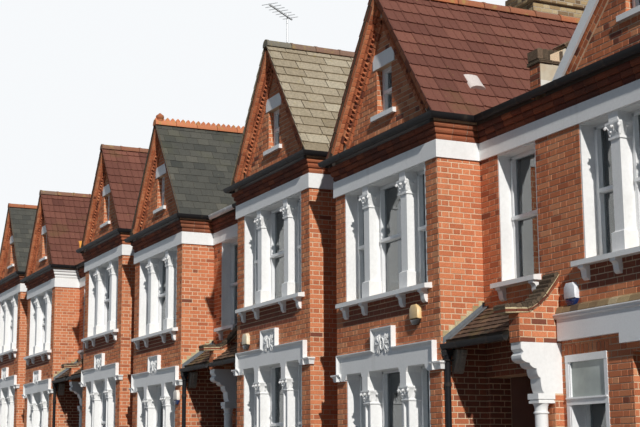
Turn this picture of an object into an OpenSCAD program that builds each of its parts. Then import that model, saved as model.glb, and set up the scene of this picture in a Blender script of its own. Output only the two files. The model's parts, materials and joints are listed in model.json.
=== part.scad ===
// A row of seven terraced houses: six with square two-storey bays under steep
// gables, set in handed pairs that step up a hill, and a flat-fronted end house.
// X runs along the street, the fronts face -Y and Z is up.

/* [Row] */
// Number of houses with a bay
bay_count = 6; // [2:1:6]
// Width of a bay
bay_w = 3050; // [2700:10:3300]
// Distance that a bay stands forward of the recessed wall
bay_out = 670; // [500:10:800]
// Gap between two bays without a porch
narrow_gap = 950; // [850:10:1200]
// Gap between two bays that holds two porches
wide_gap = 2930; // [2800:10:3300]
// Rise of the floors from one pair of houses to the next
level_step = 340; // [320:5:450]
// Depth of the house from the recessed wall to the rear wall
house_d = 9418; // [9200:10:9800]
// Distance of the end house's party wall from the middle of its porch gap
end_shift = 115; // [80:5:150]
// Width of the flat-fronted end house between its two side walls' middles
end_w = 3610; // [3550:10:3900]
// Middle of the end house's front, from its party wall's middle
end_mid = 1850; // [1750:10:1900]

/* [Walls and floors] */
// Thickness of the front and rear walls
wall_t = 330; // [300:5:350]
// Thickness of the party walls and side walls
party_t = 220; // [200:5:240]
// Thickness of the gable walls
gable_t = 220; // [180:5:240]
// Height of the masonry under the roofs
wall_h = 6220; // [6150:10:6300]
// Top of the ground floor
ground_floor_z = 300; // [250:5:350]
// Thickness of the ground floor
ground_floor_t = 200; // [150:5:220]
// Top of the first floor
first_floor_z = 3350; // [3340:5:3400]
// Thickness of the first floor
first_floor_t = 230; // [200:5:240]
// Distance of the attic floor's top below the masonry's top
attic_floor_drop = 100; // [80:5:150]
// Thickness of the attic floor
attic_floor_t = 200; // [150:5:220]

/* [Roofs] */
// Height of the gutters' tops above the masonry
eaves_rise = 100; // [90:5:150]
// Overhang of the roof slopes past the walls
eaves_out = 90; // [90:5:110]
// Distance of the bay gables' ridges below the main ridge
gable_ridge_drop = 39; // [25:1:80]
// Pitch of the end house's gable
end_pitch = 44; // [42:0.5:46]
// Pitch of the main roofs
main_pitch = 25.6; // [24:0.1:26]
// Thickness of the roofs, square to the slope
roof_t = 100; // [80:5:110]
// Overhang of the gable roofs' verges past the bays' fronts
verge_out = 90; // [70:5:110]
// Overhang of the end house's verges past its front
end_verge_out = 60; // [50:5:80]
// Distance of the bays' gable walls behind the bays' fronts
gable_back = 50; // [30:5:80]
// Radius of the ridge tiles
ridge_r = 110; // [90:5:120]
// Height of the parapet above the end house's roof
parapet_h = 400; // [360:10:450]

/* [Front trim] */
// Distance of the white frieze band's bottom below the masonry's top
frieze_drop = 475; // [455:5:480]
// Height of the frieze band
frieze_h = 240; // [220:5:250]
// Distance that the frieze stands proud of the walls
frieze_out = 30; // [20:5:40]
// Distance that each brick course of the cornice oversails the one below
cornice_step = 30; // [25:1:30]
// Width of the eaves gutter
gutter_w = 120; // [100:5:130]
// Height of the eaves gutter
gutter_h = 90; // [80:5:95]
// Thickness of the gutter's sides
gutter_t = 12; // [8:1:16]

/* [Bay windows] */
// Width of a triple window's opening
window_w = 2420; // [2400:10:2440]
// Top of the first-floor sill
first_sill_z = 4100; // [4080:5:4120]
// Top of the ground-floor sill
ground_sill_z = 1050; // [1000:5:1100]
// Top of the ground-floor window's opening
ground_head_z = 3080; // [3060:5:3090]
// Width of the stone jambs
jamb_w = 25; // [20:5:40]
// Width of the stone piers between the lights
pier_w = 170; // [150:5:190]
// Middle of a pier from the middle of the window
pier_x = 560; // [540:5:580]
// Depth of the stone dressings in the opening
dressing_d = 190; // [170:5:200]
// Height of the block under a window pier
pier_base_h = 250; // [220:5:280]
// Height of a window pier's capital
capital_h = 200; // [180:5:220]
// Distance that the capitals spread from the piers
capital_out = 45; // [35:5:55]
// Length of the first-floor sill
sill_w = 2660; // [2620:10:2700]
// Distance that the sills stand out
sill_out = 120; // [100:5:140]
// Thickness of the sills
sill_t = 75; // [60:5:85]
// Width of a sill's console
console_w = 100; // [90:5:120]
// Height of a sill's console
console_h = 175; // [150:5:190]
// Width of the sash frames' members
sash_w = 55; // [45:1:60]
// Depth of the sash frames
sash_d = 60; // [50:5:70]
// Thickness of the glass
glass_t = 6; // [4:1:8]

/* [Label moulds] */
// Width of the label mould over a ground-floor window
label_w = 2830; // [2780:10:2860]
// Top of the label mould
label_z = 3330; // [3310:5:3350]
// Bottom of the label mould's ends
label_low = 2945; // [2930:5:2960]
// Distance that the label mould stands out
label_out = 80; // [70:5:90]
// Distance that the flat stone inside the label mould stands out
fascia_out = 40; // [30:5:50]
// Width of the raised panel over the middle light
panel_w = 620; // [580:10:680]
// Top of the raised panel
panel_z = 3625; // [3600:5:3650]
// Width of the label mould's rim
border_w = 95; // [80:5:110]
// Height of the ears that turn outwards at the label mould's ends
ear_h = 105; // [90:5:120]

/* [Small windows] */
// Width of the narrow window beside a bay
side_w = 870; // [840:5:900]
// Distance of the narrow window from the bay
side_gap = 430; // [420:5:450]
// Top of the narrow window's sill
side_sill_z = 4050; // [4030:5:4070]
// Width of the attic window
attic_w = 450; // [420:5:480]
// Height of the attic window's bottom above the masonry's top
attic_rise = 510; // [490:5:530]
// Height of the attic window
attic_h = 700; // [660:5:710]

/* [Porches] */
// Distance of a porch wall's front behind the bay's front
porch_wall_y = 80; // [60:5:100]
// Bottom of the porch wall's brickwork
porch_wall_z = 3160; // [3140:5:3180]
// Top of the porch wall at its front
porch_front_z = 3560; // [3540:5:3600]
// Top of the porch wall at the house
porch_back_z = 4000; // [3980:5:4040]
// Height of the porch gutter's top
porch_eaves_z = 3270; // [3260:5:3290]
// Top of the porch roof at the house
porch_ridge_z = 3750; // [3720:5:3780]
// Thickness of the porch roof
porch_roof_t = 60; // [50:5:80]
// Bottom of the scalloped bracket
bracket_z = 2560; // [2540:5:2580]
// Distance that the bracket reaches in front of the bay
bracket_out = 70; // [60:5:80]
// Height of the porch column's capital
porch_capital_h = 180; // [160:5:190]
// Middle of the porch column behind the bay's front
porch_column_y = 420; // [400:5:440]
// Radius of the porch column
porch_column_r = 95; // [90:1:100]
// Depth of the entrance lobby behind the recessed wall
lobby_d = 900; // [800:10:1000]
// Head of the lobby's opening
lobby_head_z = 2850; // [2800:10:2900]
// Width of a front door
door_w = 850; // [820:10:860]
// Height of a front door
door_h = 2050; // [2000:10:2080]

/* [Chimneys] */
// Width of a chimney stack
stack_w = 700; // [650:10:740]
// Depth of a chimney stack
stack_d = 1300; // [1200:10:1400]
// Distance of a chimney stack's back before the main ridge
stack_back = 229; // [150:1:300]
// Height of a chimney stack above the main ridge
stack_h = 1000; // [900:10:1200]
// Number of pots on a stack
pot_count = 4; // [2:1:4]
// Height of a chimney pot
pot_h = 420; // [350:10:500]

/* [Hidden] */
$fn = 48;
eps = 1;

eaves_h = wall_h + eaves_rise;
frieze_z = wall_h - frieze_drop;
attic_floor_z = wall_h - attic_floor_drop;
attic_z = wall_h + attic_rise;
house_w = bay_w + (narrow_gap + wide_gap) / 2;
rear_y = bay_out + house_d;
half_bay = bay_w / 2;
half_party = party_t / 2;
main_eaves_y = bay_out - eaves_out;
rear_eaves_y = rear_y + eaves_out;
main_ridge_y = (main_eaves_y + rear_eaves_y) / 2;
main_ridge_z = eaves_h + (main_ridge_y - main_eaves_y) * tan(main_pitch);
stack_y = main_ridge_y - stack_back - stack_d;
gable_foot = half_bay + eaves_out;
gable_ridge_z = main_ridge_z - gable_ridge_drop;
gable_pitch = atan((gable_ridge_z - eaves_h) / gable_foot);
end_foot = min(end_mid, end_w - end_mid) - half_party + 20;
end_ridge_z = eaves_h + end_foot * tan(end_pitch);
main_drop = roof_t / cos(main_pitch);

// Each bay's right-hand edge; the houses count from the right
function bay_right(i) = (i % 2 == 0) ? -i * house_w : -(i - 1) * house_w - bay_w - narrow_gap;
function bay_mid(i) = bay_right(i) - half_bay;
function level(i) = level_step * floor((i + 1) / 2);
function porch_hand(i) = (i % 2 == 0) ? 1 : -1;
// Middle of the party wall on the right of bay house i
function party_x(i) = (i == 0) ? wide_gap / 2 + end_shift
    : (i % 2 == 0) ? bay_right(i) + wide_gap / 2 : bay_right(i) + narrow_gap / 2;
function party_level(i) = (i == bay_count) ? level(i - 1) : level(i);
// Distance of the party wall's middle from the bay's middle, on the porch side and on the other
function porch_party(i) = wide_gap / 2 + half_bay + ((i == 0) ? end_shift : 0);
function plain_party(i) = half_bay + narrow_gap / 2;
end_party_x = party_x(0) + end_w;
end_x = party_x(0) + end_mid;
row_left = (bay_count % 2 == 0 ? bay_right(bay_count - 1) - bay_w - wide_gap / 2
    : bay_right(bay_count - 1) - bay_w - narrow_gap / 2) - half_party;
row_right = end_party_x + half_party;
porch_coping_out = 25;
row_left_edge = row_left - (bay_count % 2 == 0 ? porch_coping_out : 0);
row_front = -eaves_out - gutter_w;
row_back = rear_eaves_y + gutter_w;
stack_lines = [for (i = [1 : 2 : bay_count - 1]) i];
houses = [for (i = [0 : bay_count - 1]) i];

// Moves the street frame so that the row's middle is the origin
module row() {
    translate([-(row_left_edge + row_right) / 2, -(row_front + row_back) / 2, 0]) children();
}

// The frame of bay house i: its bay's middle at X 0, its porch on +X, its own ground at Z 0
module at_house(i) {
    translate([bay_mid(i), 0, level(i)])
        if (porch_hand(i) > 0) children();
        else mirror([1, 0, 0]) children();
}

module each_house() {
    row() for (i = houses) at_house(i) children();
}

// The frame of the end house: its middle at X 0 and its front at Y 0
module at_end() {
    row() translate([end_x, bay_out, 0]) children();
}

// A box between two corners
module box(low, high) {
    translate(low) cube(high - low);
}

// A prism along X from a profile drawn in the Y-Z plane
module along_x(x0, x1, profile) {
    translate([x0, 0, 0]) rotate([90, 0, 90]) linear_extrude(x1 - x0) polygon(profile);
}

// A prism along Y from a profile drawn in the X-Z plane
module along_y(y0, y1, profile) {
    translate([0, y1, 0]) rotate([90, 0, 0]) linear_extrude(y1 - y0) polygon(profile);
}

// The front's line in plan, a distance out from the brick, from one party wall to the other
function front_line(i, out) = [
    [-plain_party(i), bay_out - out], [-half_bay - out, bay_out - out], [-half_bay - out, -out],
    [half_bay + out, -out], [half_bay + out, bay_out - out], [porch_party(i), bay_out - out]];
function reversed(list) = [for (k = [len(list) - 1 : -1 : 0]) list[k]];

// A band round the front of house i between two distances out
module front_band(i, inner, outer, z0, z1) {
    translate([0, 0, z0]) linear_extrude(z1 - z0)
        polygon(concat(front_line(i, outer), reversed(front_line(i, inner))));
}

// The same band along the flat front of the end house
module end_band(inner, outer, z0, z1) {
    box([party_x(0) - end_x, -outer, z0], [row_right - end_x, -inner, z1]);
}

// Plan of the front masonry with the bay
function front_plan(i) = [
    [-plain_party(i) + half_party, bay_out], [-half_bay, bay_out], [-half_bay, 0], [half_bay, 0],
    [half_bay, bay_out], [porch_party(i) - half_party, bay_out],
    [porch_party(i) - half_party, bay_out + wall_t], [half_bay - wall_t, bay_out + wall_t],
    [half_bay - wall_t, wall_t], [wall_t - half_bay, wall_t], [wall_t - half_bay, bay_out + wall_t],
    [-plain_party(i) + half_party, bay_out + wall_t]];

// Plan of the rooms inside the walls
function room_plan(i) = [
    [-plain_party(i) + half_party, bay_out + wall_t], [wall_t - half_bay, bay_out + wall_t],
    [wall_t - half_bay, wall_t], [half_bay - wall_t, wall_t], [half_bay - wall_t, bay_out + wall_t],
    [porch_party(i) - half_party, bay_out + wall_t], [porch_party(i) - half_party, rear_y - wall_t],
    [-plain_party(i) + half_party, rear_y - wall_t]];

side_x = half_bay + side_gap;
lobby_x = half_bay + 75;
lobby_wall_t = 220;
lobby_y = bay_out + wall_t + lobby_d;
door_wall_t = 110;
function lobby_end(i) = porch_party(i) - half_party;
function door_x(i) = (lobby_x + lobby_end(i)) / 2;
frame_w = 60;
fanlight_h = 420;

// The street fronts with their bays and openings, down to the lowest ground
module front_walls() {
    color([0.66, 0.28, 0.18]) {
        row() for (i = houses) at_house(i) difference() {
            translate([0, 0, -level(i)]) linear_extrude(wall_h + level(i)) polygon(front_plan(i));
            box([-window_w / 2, -eps, first_sill_z], [window_w / 2, wall_t + eps, frieze_z]);
            box([-window_w / 2, -eps, ground_sill_z], [window_w / 2, wall_t + eps, ground_head_z]);
            box([side_x, bay_out - eps, side_sill_z], [side_x + side_w, bay_out + wall_t + eps, frieze_z]);
            box([lobby_x, bay_out - eps, ground_floor_z],
                [lobby_end(i) - 60, bay_out + wall_t + eps, lobby_head_z]);
        }
        at_end() difference() {
            box([party_x(0) + half_party - end_x, 0, 0], [end_party_x - half_party - end_x, wall_t, wall_h]);
            box([-window_w / 2, -eps, first_sill_z], [window_w / 2, wall_t + eps, frieze_z]);
            box([end_window_x, -eps, end_window_z],
                [end_window_x + end_window_w, wall_t + eps, end_window_top]);
            box([end_door_x, -eps, ground_floor_z], [end_door_x + end_door_w, wall_t + eps, end_door_top]);
        }
    }
}

end_window_x = -1620;
end_window_w = 740;
end_window_z = 1050;
end_window_top = 2960;
end_door_x = -410;
end_door_w = 1500;
end_door_top = 2960;
band_z = 3180;
band_top = 3500;
band_out = 80;

// A gable's outline above a height, with straight slopes from the ridge
function gable_outline(half, foot_z, ridge_z, pitch) = [
    [-half, foot_z], [half, foot_z], [half, ridge_z - half * tan(pitch)], [0, ridge_z],
    [-half, ridge_z - half * tan(pitch)]];

verge_band_w = 150;
verge_band_out = 20;

// A band of oversailing brick under a gable's verges
module verge_band(half, top_z, pitch) {
    low_z = top_z - verge_band_w / cos(pitch);
    field_foot = (low_z - wall_h + eps) / tan(pitch);
    difference() {
        along_y(-verge_band_out, 0, gable_outline(half, wall_h, top_z, pitch));
        along_y(-verge_band_out - eps, eps, [
            [-field_foot, wall_h - eps], [field_foot, wall_h - eps], [0, low_z]]);
    }
}

module gable_wall(half, ridge_z, pitch, window_z, window_h) {
    top_z = ridge_z - roof_t / cos(pitch);
    verge_band(half, top_z, pitch);
    difference() {
        along_y(0, gable_t, gable_outline(half, wall_h, top_z, pitch));
        box([-attic_w / 2, -eps, window_z], [attic_w / 2, gable_t + eps, window_z + window_h]);
    }
}

module gable_walls() {
    color([0.64, 0.27, 0.17]) {
        each_house() translate([0, gable_back, 0])
            gable_wall(half_bay, gable_ridge_z, gable_pitch, attic_z, attic_h);
        at_end() gable_wall(end_foot - 120, end_ridge_z, end_pitch, end_attic_z, end_attic_h);
    }
}

// Profile under the main roof, across the house
function under_roof(lift) = [
    [bay_out, 0], [bay_out, eaves_h - main_drop + eaves_out * tan(main_pitch) + lift],
    [main_ridge_y, main_ridge_z - main_drop + lift],
    [rear_y, eaves_h - main_drop + eaves_out * tan(main_pitch) + lift], [rear_y, 0]];

// A party wall from the street's ground up to the roof of its higher neighbour
module party_wall(mid, z, lift) {
    translate([mid, 0, 0]) union() {
        translate([0, 0, z]) along_x(-half_party, half_party, under_roof(lift));
        if (z > 0) box([-half_party, bay_out, 0], [half_party, rear_y, z + eps]);
    }
}

kneeler_out = 160;
kneeler_h = 320;
kneeler_z = eaves_h + kneeler_h;

// The parapet's end, corbelled forward over the gutter
module kneeler() {
    box([-half_party, bay_out - kneeler_out, eaves_h], [half_party, bay_out + eps, kneeler_z]);
}

module stack_block(grow) {
    translate([-stack_w / 2 - grow, stack_y - grow, attic_floor_z])
        cube([stack_w + 2 * grow, stack_d + 2 * grow, main_ridge_z + stack_h - attic_floor_z]);
}

module party_walls() {
    color([0.62, 0.27, 0.18]) row() {
        party_wall(party_x(0), 0, main_drop + parapet_h);
        translate([party_x(0), 0, 0]) kneeler();
        party_wall(end_party_x, 0, 0);
        for (i = [1 : bay_count]) difference() {
            party_wall(i == bay_count ? row_left + half_party : party_x(i), party_level(i), 0);
            if (i < bay_count && i % 2 == 1) translate([party_x(i), 0, party_level(i)]) stack_block(0);
        }
    }
}

rear_window_w = 1100;
rear_window_h = 1500;
rear_door_w = 900;
rear_door_h = 2100;
// The rear openings' middles as shares of the width between the walls
rear_places = [0.27, 0.76];
function rear_windows(left, right) = [for (place = rear_places) left + (right - left) * place];

module rear_holes(left, right) {
    for (x = rear_windows(left, right))
        box([x - rear_window_w / 2, rear_y - wall_t - eps, first_sill_z],
            [x + rear_window_w / 2, rear_y + eps, first_sill_z + rear_window_h]);
    box([rear_windows(left, right)[0] - rear_window_w / 2, rear_y - wall_t - eps, ground_sill_z],
        [rear_windows(left, right)[0] + rear_window_w / 2, rear_y + eps, ground_sill_z + rear_window_h]);
    box([rear_windows(left, right)[1] - rear_door_w / 2, rear_y - wall_t - eps, ground_floor_z],
        [rear_windows(left, right)[1] + rear_door_w / 2, rear_y + eps, ground_floor_z + rear_door_h]);
}

function house_left(i) = -plain_party(i) + half_party;
function house_right(i) = porch_party(i) - half_party;
end_left = party_x(0) + half_party - end_x;
end_right = end_party_x - half_party - end_x;

// The end house's frame starts at its front wall, so its rear lies bay_out nearer
module at_end_rear() {
    at_end() translate([0, -bay_out, 0]) children();
}

module rear_walls() {
    color([0.60, 0.30, 0.20]) {
        row() for (i = houses) at_house(i) difference() {
            box([house_left(i), rear_y - wall_t, -level(i)], [house_right(i), rear_y, wall_h]);
            rear_holes(house_left(i), house_right(i));
        }
        at_end_rear() difference() {
            box([end_left, rear_y - wall_t, 0], [end_right, rear_y, wall_h]);
            rear_holes(end_left, end_right);
        }
    }
}

// Walls of the entrance lobby behind each porch
module lobby_walls() {
    color([0.86, 0.84, 0.78]) {
        row() for (i = houses) at_house(i) lobby(lobby_x, lobby_end(i), lobby_y, door_x(i));
        at_end_rear() lobby(end_door_x, end_right, lobby_y, end_lobby_mid);
    }
}

end_lobby_mid = end_door_x + end_door_w / 2;

module lobby(x0, x1, y1, door_mid) {
    difference() {
        translate([0, 0, ground_floor_z]) linear_extrude(first_floor_z - first_floor_t - ground_floor_z)
            polygon([[x0 - lobby_wall_t, bay_out + wall_t], [x0, bay_out + wall_t], [x0, y1], [x1, y1],
                [x1, y1 + door_wall_t], [x0 - lobby_wall_t, y1 + door_wall_t]]);
        box([door_mid - door_w / 2 - frame_w, y1 - eps, ground_floor_z - eps],
            [door_mid + door_w / 2 + frame_w, y1 + door_wall_t + eps, ground_floor_z + door_h + fanlight_h]);
    }
}

module floor_slab(z, t) {
    row() for (i = houses) at_house(i)
        translate([0, 0, z - t]) linear_extrude(t) polygon(room_plan(i));
    at_end() box([end_left, wall_t, z - t], [end_right, house_d - wall_t, z]);
}

module ground_floors() {
    color([0.55, 0.50, 0.44]) floor_slab(ground_floor_z, ground_floor_t);
}

module first_floors() {
    color([0.72, 0.62, 0.46]) floor_slab(first_floor_z, first_floor_t);
}

module attic_floors() {
    color([0.72, 0.62, 0.46]) floor_slab(attic_floor_z, attic_floor_t);
}

stack_cap_h = 225;
stack_cap_out = 60;

module chimney_stacks() {
    color([0.62, 0.52, 0.34]) row() for (i = stack_lines)
        translate([party_x(i), 0, party_level(i)]) {
            stack_block(0);
            translate([0, 0, main_ridge_z + stack_h - 2 * stack_cap_h])
                box([-stack_w / 2 - stack_cap_out, stack_y - stack_cap_out, 0],
                    [stack_w / 2 + stack_cap_out, stack_y + stack_d + stack_cap_out, stack_cap_h]);
        }
}

pot_r = 120;

module chimney_pot() {
    rotate_extrude() polygon([
        [pot_r * 0.72, 0], [pot_r, 0], [pot_r, 60], [pot_r * 0.9, 90], [pot_r * 0.82, pot_h - 90],
        [pot_r * 0.98, pot_h - 60], [pot_r * 0.98, pot_h], [pot_r * 0.72, pot_h]]);
}

module chimney_pots() {
    color([0.72, 0.36, 0.22]) row() for (i = stack_lines)
        for (k = [0 : pot_count - 1])
            translate([party_x(i), stack_y + stack_d * (k + 0.5) / pot_count,
                party_level(i) + main_ridge_z + stack_h]) chimney_pot();
}

// The main roof's profile across the house, lowered by a distance
function main_profile(drop) =
    let (base_y = main_eaves_y + max(0, (wall_h - eps - eaves_h + drop)) / tan(main_pitch))
    drop == 0 ? [[main_eaves_y, wall_h], [main_eaves_y, eaves_h], [main_ridge_y, main_ridge_z],
        [rear_eaves_y, eaves_h], [rear_eaves_y, wall_h]]
    : [[base_y, wall_h - eps], [main_ridge_y, main_ridge_z - drop],
        [main_eaves_y + rear_eaves_y - base_y, wall_h - eps]];

// A gable roof's profile, lowered by a distance
function gable_profile(foot, ridge_z, pitch, drop) =
    let (base_x = (ridge_z - drop - wall_h + eps) / tan(pitch))
    drop == 0 ? [[-foot, wall_h], [foot, wall_h], [foot, ridge_z - foot * tan(pitch)], [0, ridge_z],
        [-foot, ridge_z - foot * tan(pitch)]]
    : [[-base_x, wall_h - eps], [base_x, wall_h - eps], [0, ridge_z - drop]];

// One roof: the main slopes between two X places with the front gable run into them
module roof_shell(x0, x1, foot, ridge_z, pitch, front_y) {
    gable_drop = roof_t / cos(pitch);
    difference() {
        union() {
            along_x(x0, x1, main_profile(0));
            along_y(front_y, main_ridge_y, gable_profile(foot, ridge_z, pitch, 0));
        }
        along_x(x0 - eps, x1 + eps, main_profile(main_drop));
        along_y(front_y - eps, main_ridge_y, gable_profile(foot, ridge_z, pitch, gable_drop));
    }
}

// The roof of bay house i stops at a taller party wall and covers a lower one
module bay_roof(i) {
    plain_end = (porch_hand(i) > 0) ? -plain_party(i) + half_party : -plain_party(i) - half_party;
    porch_end = (i == 0) ? porch_party(i) - half_party
        : (i == bay_count - 1 && porch_hand(i) < 0) ? porch_party(i) + half_party : porch_party(i);
    row() difference() {
        at_house(i) roof_shell(i == bay_count - 1 ? -plain_party(i) - half_party : plain_end,
            porch_end, gable_foot, gable_ridge_z, gable_pitch, -verge_out);
        for (k = stack_lines)
            translate([party_x(k), 0, party_level(k)]) stack_block(0);
    }
}

module roof_a() {
    color([0.45, 0.25, 0.20]) at_end_rear()
        roof_shell(end_left, end_right + party_t, end_foot, end_ridge_z, end_pitch, bay_out - end_verge_out);
}

module roof_b() {
    color([0.45, 0.25, 0.20]) bay_roof(0);
}

module roof_c() {
    color([0.62, 0.58, 0.48]) bay_roof(1);
}

module roof_d() {
    color([0.30, 0.31, 0.33]) if (bay_count > 2) bay_roof(2);
}

module roof_e() {
    color([0.42, 0.24, 0.20]) if (bay_count > 3) bay_roof(3);
}

module roof_f() {
    color([0.42, 0.24, 0.20]) if (bay_count > 4) bay_roof(4);
}

module roof_g() {
    color([0.30, 0.31, 0.33]) if (bay_count > 5) bay_roof(5);
}

ridge_sink = 45;
// Gap between a main ridge's end and the party wall
ridge_gap = 20;
// How far below a gable's ridge its ridge tiles meet the main roof
ridge_meet_drop = 1.3 * ridge_r;
finial_house = 2;
finial_h = 330;
finial_r = 60;
finial_sink = 20;

// A turned clay finial on the front end of one house's ridge
module finial() {
    rotate_extrude() polygon([[0, -finial_sink], [finial_r, -finial_sink], [finial_r, finial_h * 0.3],
        [finial_r * 0.55, finial_h * 0.4], [finial_r * 0.5, finial_h * 0.5],
        [finial_r * 0.9, finial_h * 0.62], [finial_r * 0.9, finial_h * 0.7],
        [finial_r * 0.35, finial_h * 0.85], [0, finial_h]]);
}

// Where the front slope of the main roof reaches a height
function main_roof_y(z) = main_eaves_y + (z - eaves_h) / tan(main_pitch);

// Half-round ridge tiles that sit astride a ridge with slopes of a pitch
module ridge_run(length, pitch) {
    difference() {
        rotate([-90, 0, 0]) cylinder(r = ridge_r, h = length);
        along_y(-eps, length + eps, [[-2 * ridge_r, -2 * ridge_r * tan(pitch) + ridge_sink],
            [0, ridge_sink], [2 * ridge_r, -2 * ridge_r * tan(pitch) + ridge_sink],
            [2 * ridge_r, -3 * ridge_r * tan(pitch)], [-2 * ridge_r, -3 * ridge_r * tan(pitch)]]);
    }
}

module ridge_tiles() {
    color([0.66, 0.36, 0.24]) {
        each_house() translate([0, -verge_out, gable_ridge_z - ridge_sink])
            ridge_run(main_roof_y(gable_ridge_z - ridge_meet_drop) + verge_out, gable_pitch);
        at_end_rear() translate([0, bay_out - end_verge_out, end_ridge_z - ridge_sink])
            ridge_run(main_roof_y(end_ridge_z - ridge_meet_drop) - bay_out + end_verge_out, end_pitch);
        if (finial_house < bay_count) row() at_house(finial_house)
            translate([0, finial_r - verge_out, gable_ridge_z + ridge_r - ridge_sink - finial_sink / 2])
                finial();
        row() for (i = houses) at_house(i)
            main_ridge(house_left(i) + ridge_gap, house_right(i) - ridge_gap);
        at_end_rear() main_ridge(end_left + ridge_gap, end_right + party_t);
    }
}

module main_ridge(x0, x1) {
    translate([x0, main_ridge_y, main_ridge_z - ridge_sink]) rotate([0, 0, -90])
        ridge_run(x1 - x0, main_pitch);
}

barge_t = 35;
barge_h = 190;
barge_drop = 20;

// White boards on the verges of the end house's gable, cut off level above the gutter
module bargeboards() {
    apex_z = end_ridge_z - barge_drop;
    foot_z = eaves_h + (eaves_out - end_verge_out) * tan(main_pitch);
    color([0.93, 0.93, 0.92]) at_end()
        along_y(-end_verge_out - barge_t, -end_verge_out, [
            [-barge_x(apex_z, foot_z), foot_z], [0, apex_z], [barge_x(apex_z, foot_z), foot_z],
            [barge_x(apex_z - barge_h, foot_z), foot_z], [0, apex_z - barge_h],
            [-barge_x(apex_z - barge_h, foot_z), foot_z]]);
}

// Half width of the end gable's slope, from an apex down to a height
function barge_x(apex_z, z) = (apex_z - z) / tan(end_pitch);

coping_t = 70;
coping_out = 35;

kneeler_cap_h = 200;
kneeler_cap_d = 420;

// The coping follows the roof and lies level over the end block
module parapet_coping() {
    parapet_top = under_roof(main_drop + parapet_h);
    color([0.55, 0.50, 0.42]) row() translate([party_x(0), 0, 0]) {
        along_x(-half_party - coping_out, half_party + coping_out,
            [for (k = [1 : 3]) parapet_top[k],
            for (k = [3 : -1 : 1]) under_roof(main_drop + parapet_h + coping_t)[k]]);
        difference() {
            translate([-half_party - coping_out, bay_out - kneeler_out - coping_out, kneeler_z])
                cube([party_t + 2 * coping_out, kneeler_cap_d, kneeler_cap_h]);
            along_x(-half_party - eps - coping_out, half_party + coping_out + eps, parapet_top);
        }
    }
}

cornice_z = frieze_z + frieze_h;
course_h = (wall_h - cornice_z) / 3;

// Three brick courses, each oversailing the one below
module cornices() {
    color([0.50, 0.20, 0.13]) for (k = [1 : 3]) {
        row() for (i = houses) at_house(i) front_band(i, 0, k * cornice_step,
            cornice_z + (k - 1) * course_h, cornice_z + k * course_h);
        at_end() end_band(0, k * cornice_step, cornice_z + (k - 1) * course_h, cornice_z + k * course_h);
    }
}

module friezes() {
    color([0.88, 0.89, 0.91]) {
        row() for (i = houses) at_house(i) front_band(i, 0, frieze_out, frieze_z, cornice_z);
        at_end() end_band(0, frieze_out, frieze_z, cornice_z);
    }
}

module gutters() {
    gutter_z = eaves_h - gutter_h;
    color([0.10, 0.10, 0.11]) {
        row() for (i = houses) at_house(i) difference() {
            front_band(i, eaves_out, eaves_out + gutter_w, gutter_z, eaves_h);
            front_band(i, eaves_out + gutter_t, eaves_out + gutter_w - gutter_t,
                gutter_z + gutter_t, eaves_h + eps);
        }
        at_end() difference() {
            end_band(eaves_out, eaves_out + gutter_w, gutter_z, eaves_h);
            end_band(eaves_out + gutter_t, eaves_out + gutter_w - gutter_t,
                gutter_z + gutter_t, eaves_h + eps);
        }
        row() for (i = houses) at_house(i) rear_gutter(house_left(i), house_right(i));
        at_end_rear() rear_gutter(end_left, end_right);
        row() for (i = houses) at_house(i) porch_gutter(lobby_end(i));
    }
}

module rear_gutter(x0, x1) {
    difference() {
        box([x0, rear_eaves_y, eaves_h - gutter_h], [x1, rear_eaves_y + gutter_w, eaves_h]);
        box([x0 + gutter_t, rear_eaves_y + gutter_t, eaves_h - gutter_h + gutter_t],
            [x1 - gutter_t, rear_eaves_y + gutter_w - gutter_t, eaves_h + eps]);
    }
}

porch_gutter_w = 100;
porch_gutter_h = 80;
porch_gutter_y = -30;

module porch_gutter(x1) {
    difference() {
        box([half_bay, porch_gutter_y, porch_eaves_z - porch_gutter_h],
            [x1, porch_gutter_y + porch_gutter_w, porch_eaves_z]);
        box([half_bay + gutter_t, porch_gutter_y + gutter_t, porch_eaves_z - porch_gutter_h + gutter_t],
            [x1 - gutter_t, porch_gutter_y + porch_gutter_w - gutter_t, porch_eaves_z + eps]);
    }
}

pipe_r = 38;
head_box_w = 110;
head_box_h = 150;
head_box_gap = 8;
porch_pipe_x = half_bay + head_box_w / 2 + head_box_gap;
porch_pipe_y = porch_gutter_y + porch_gutter_w * 0.8;

module downpipes() {
    color([0.13, 0.12, 0.12]) row() for (i = houses) at_house(i) {
        translate([porch_pipe_x, porch_pipe_y, 0]) {
            translate([0, 0, -level(i)])
                cylinder(r = pipe_r, h = level(i) + porch_eaves_z - porch_gutter_h - head_box_h + eps);
            rain_head(porch_eaves_z - porch_gutter_h);
        }
        translate([house_left(i) + 2 * pipe_r, 0, 0]) rear_pipe(level(i));
    }
}

// A hopper under the porch gutter that narrows down to its pipe
module rain_head(top_z) {
    translate([0, 0, top_z - head_box_h]) {
        translate([0, 0, head_box_h / 2])
            box([-head_box_w / 2, -head_box_w / 2, 0], [head_box_w / 2, head_box_w / 2, head_box_h / 2]);
        cylinder(r1 = pipe_r, r2 = head_box_w / 2, h = head_box_h / 2);
    }
}

pipe_gap = 20;
pipe_bend_drop = 150;

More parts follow.
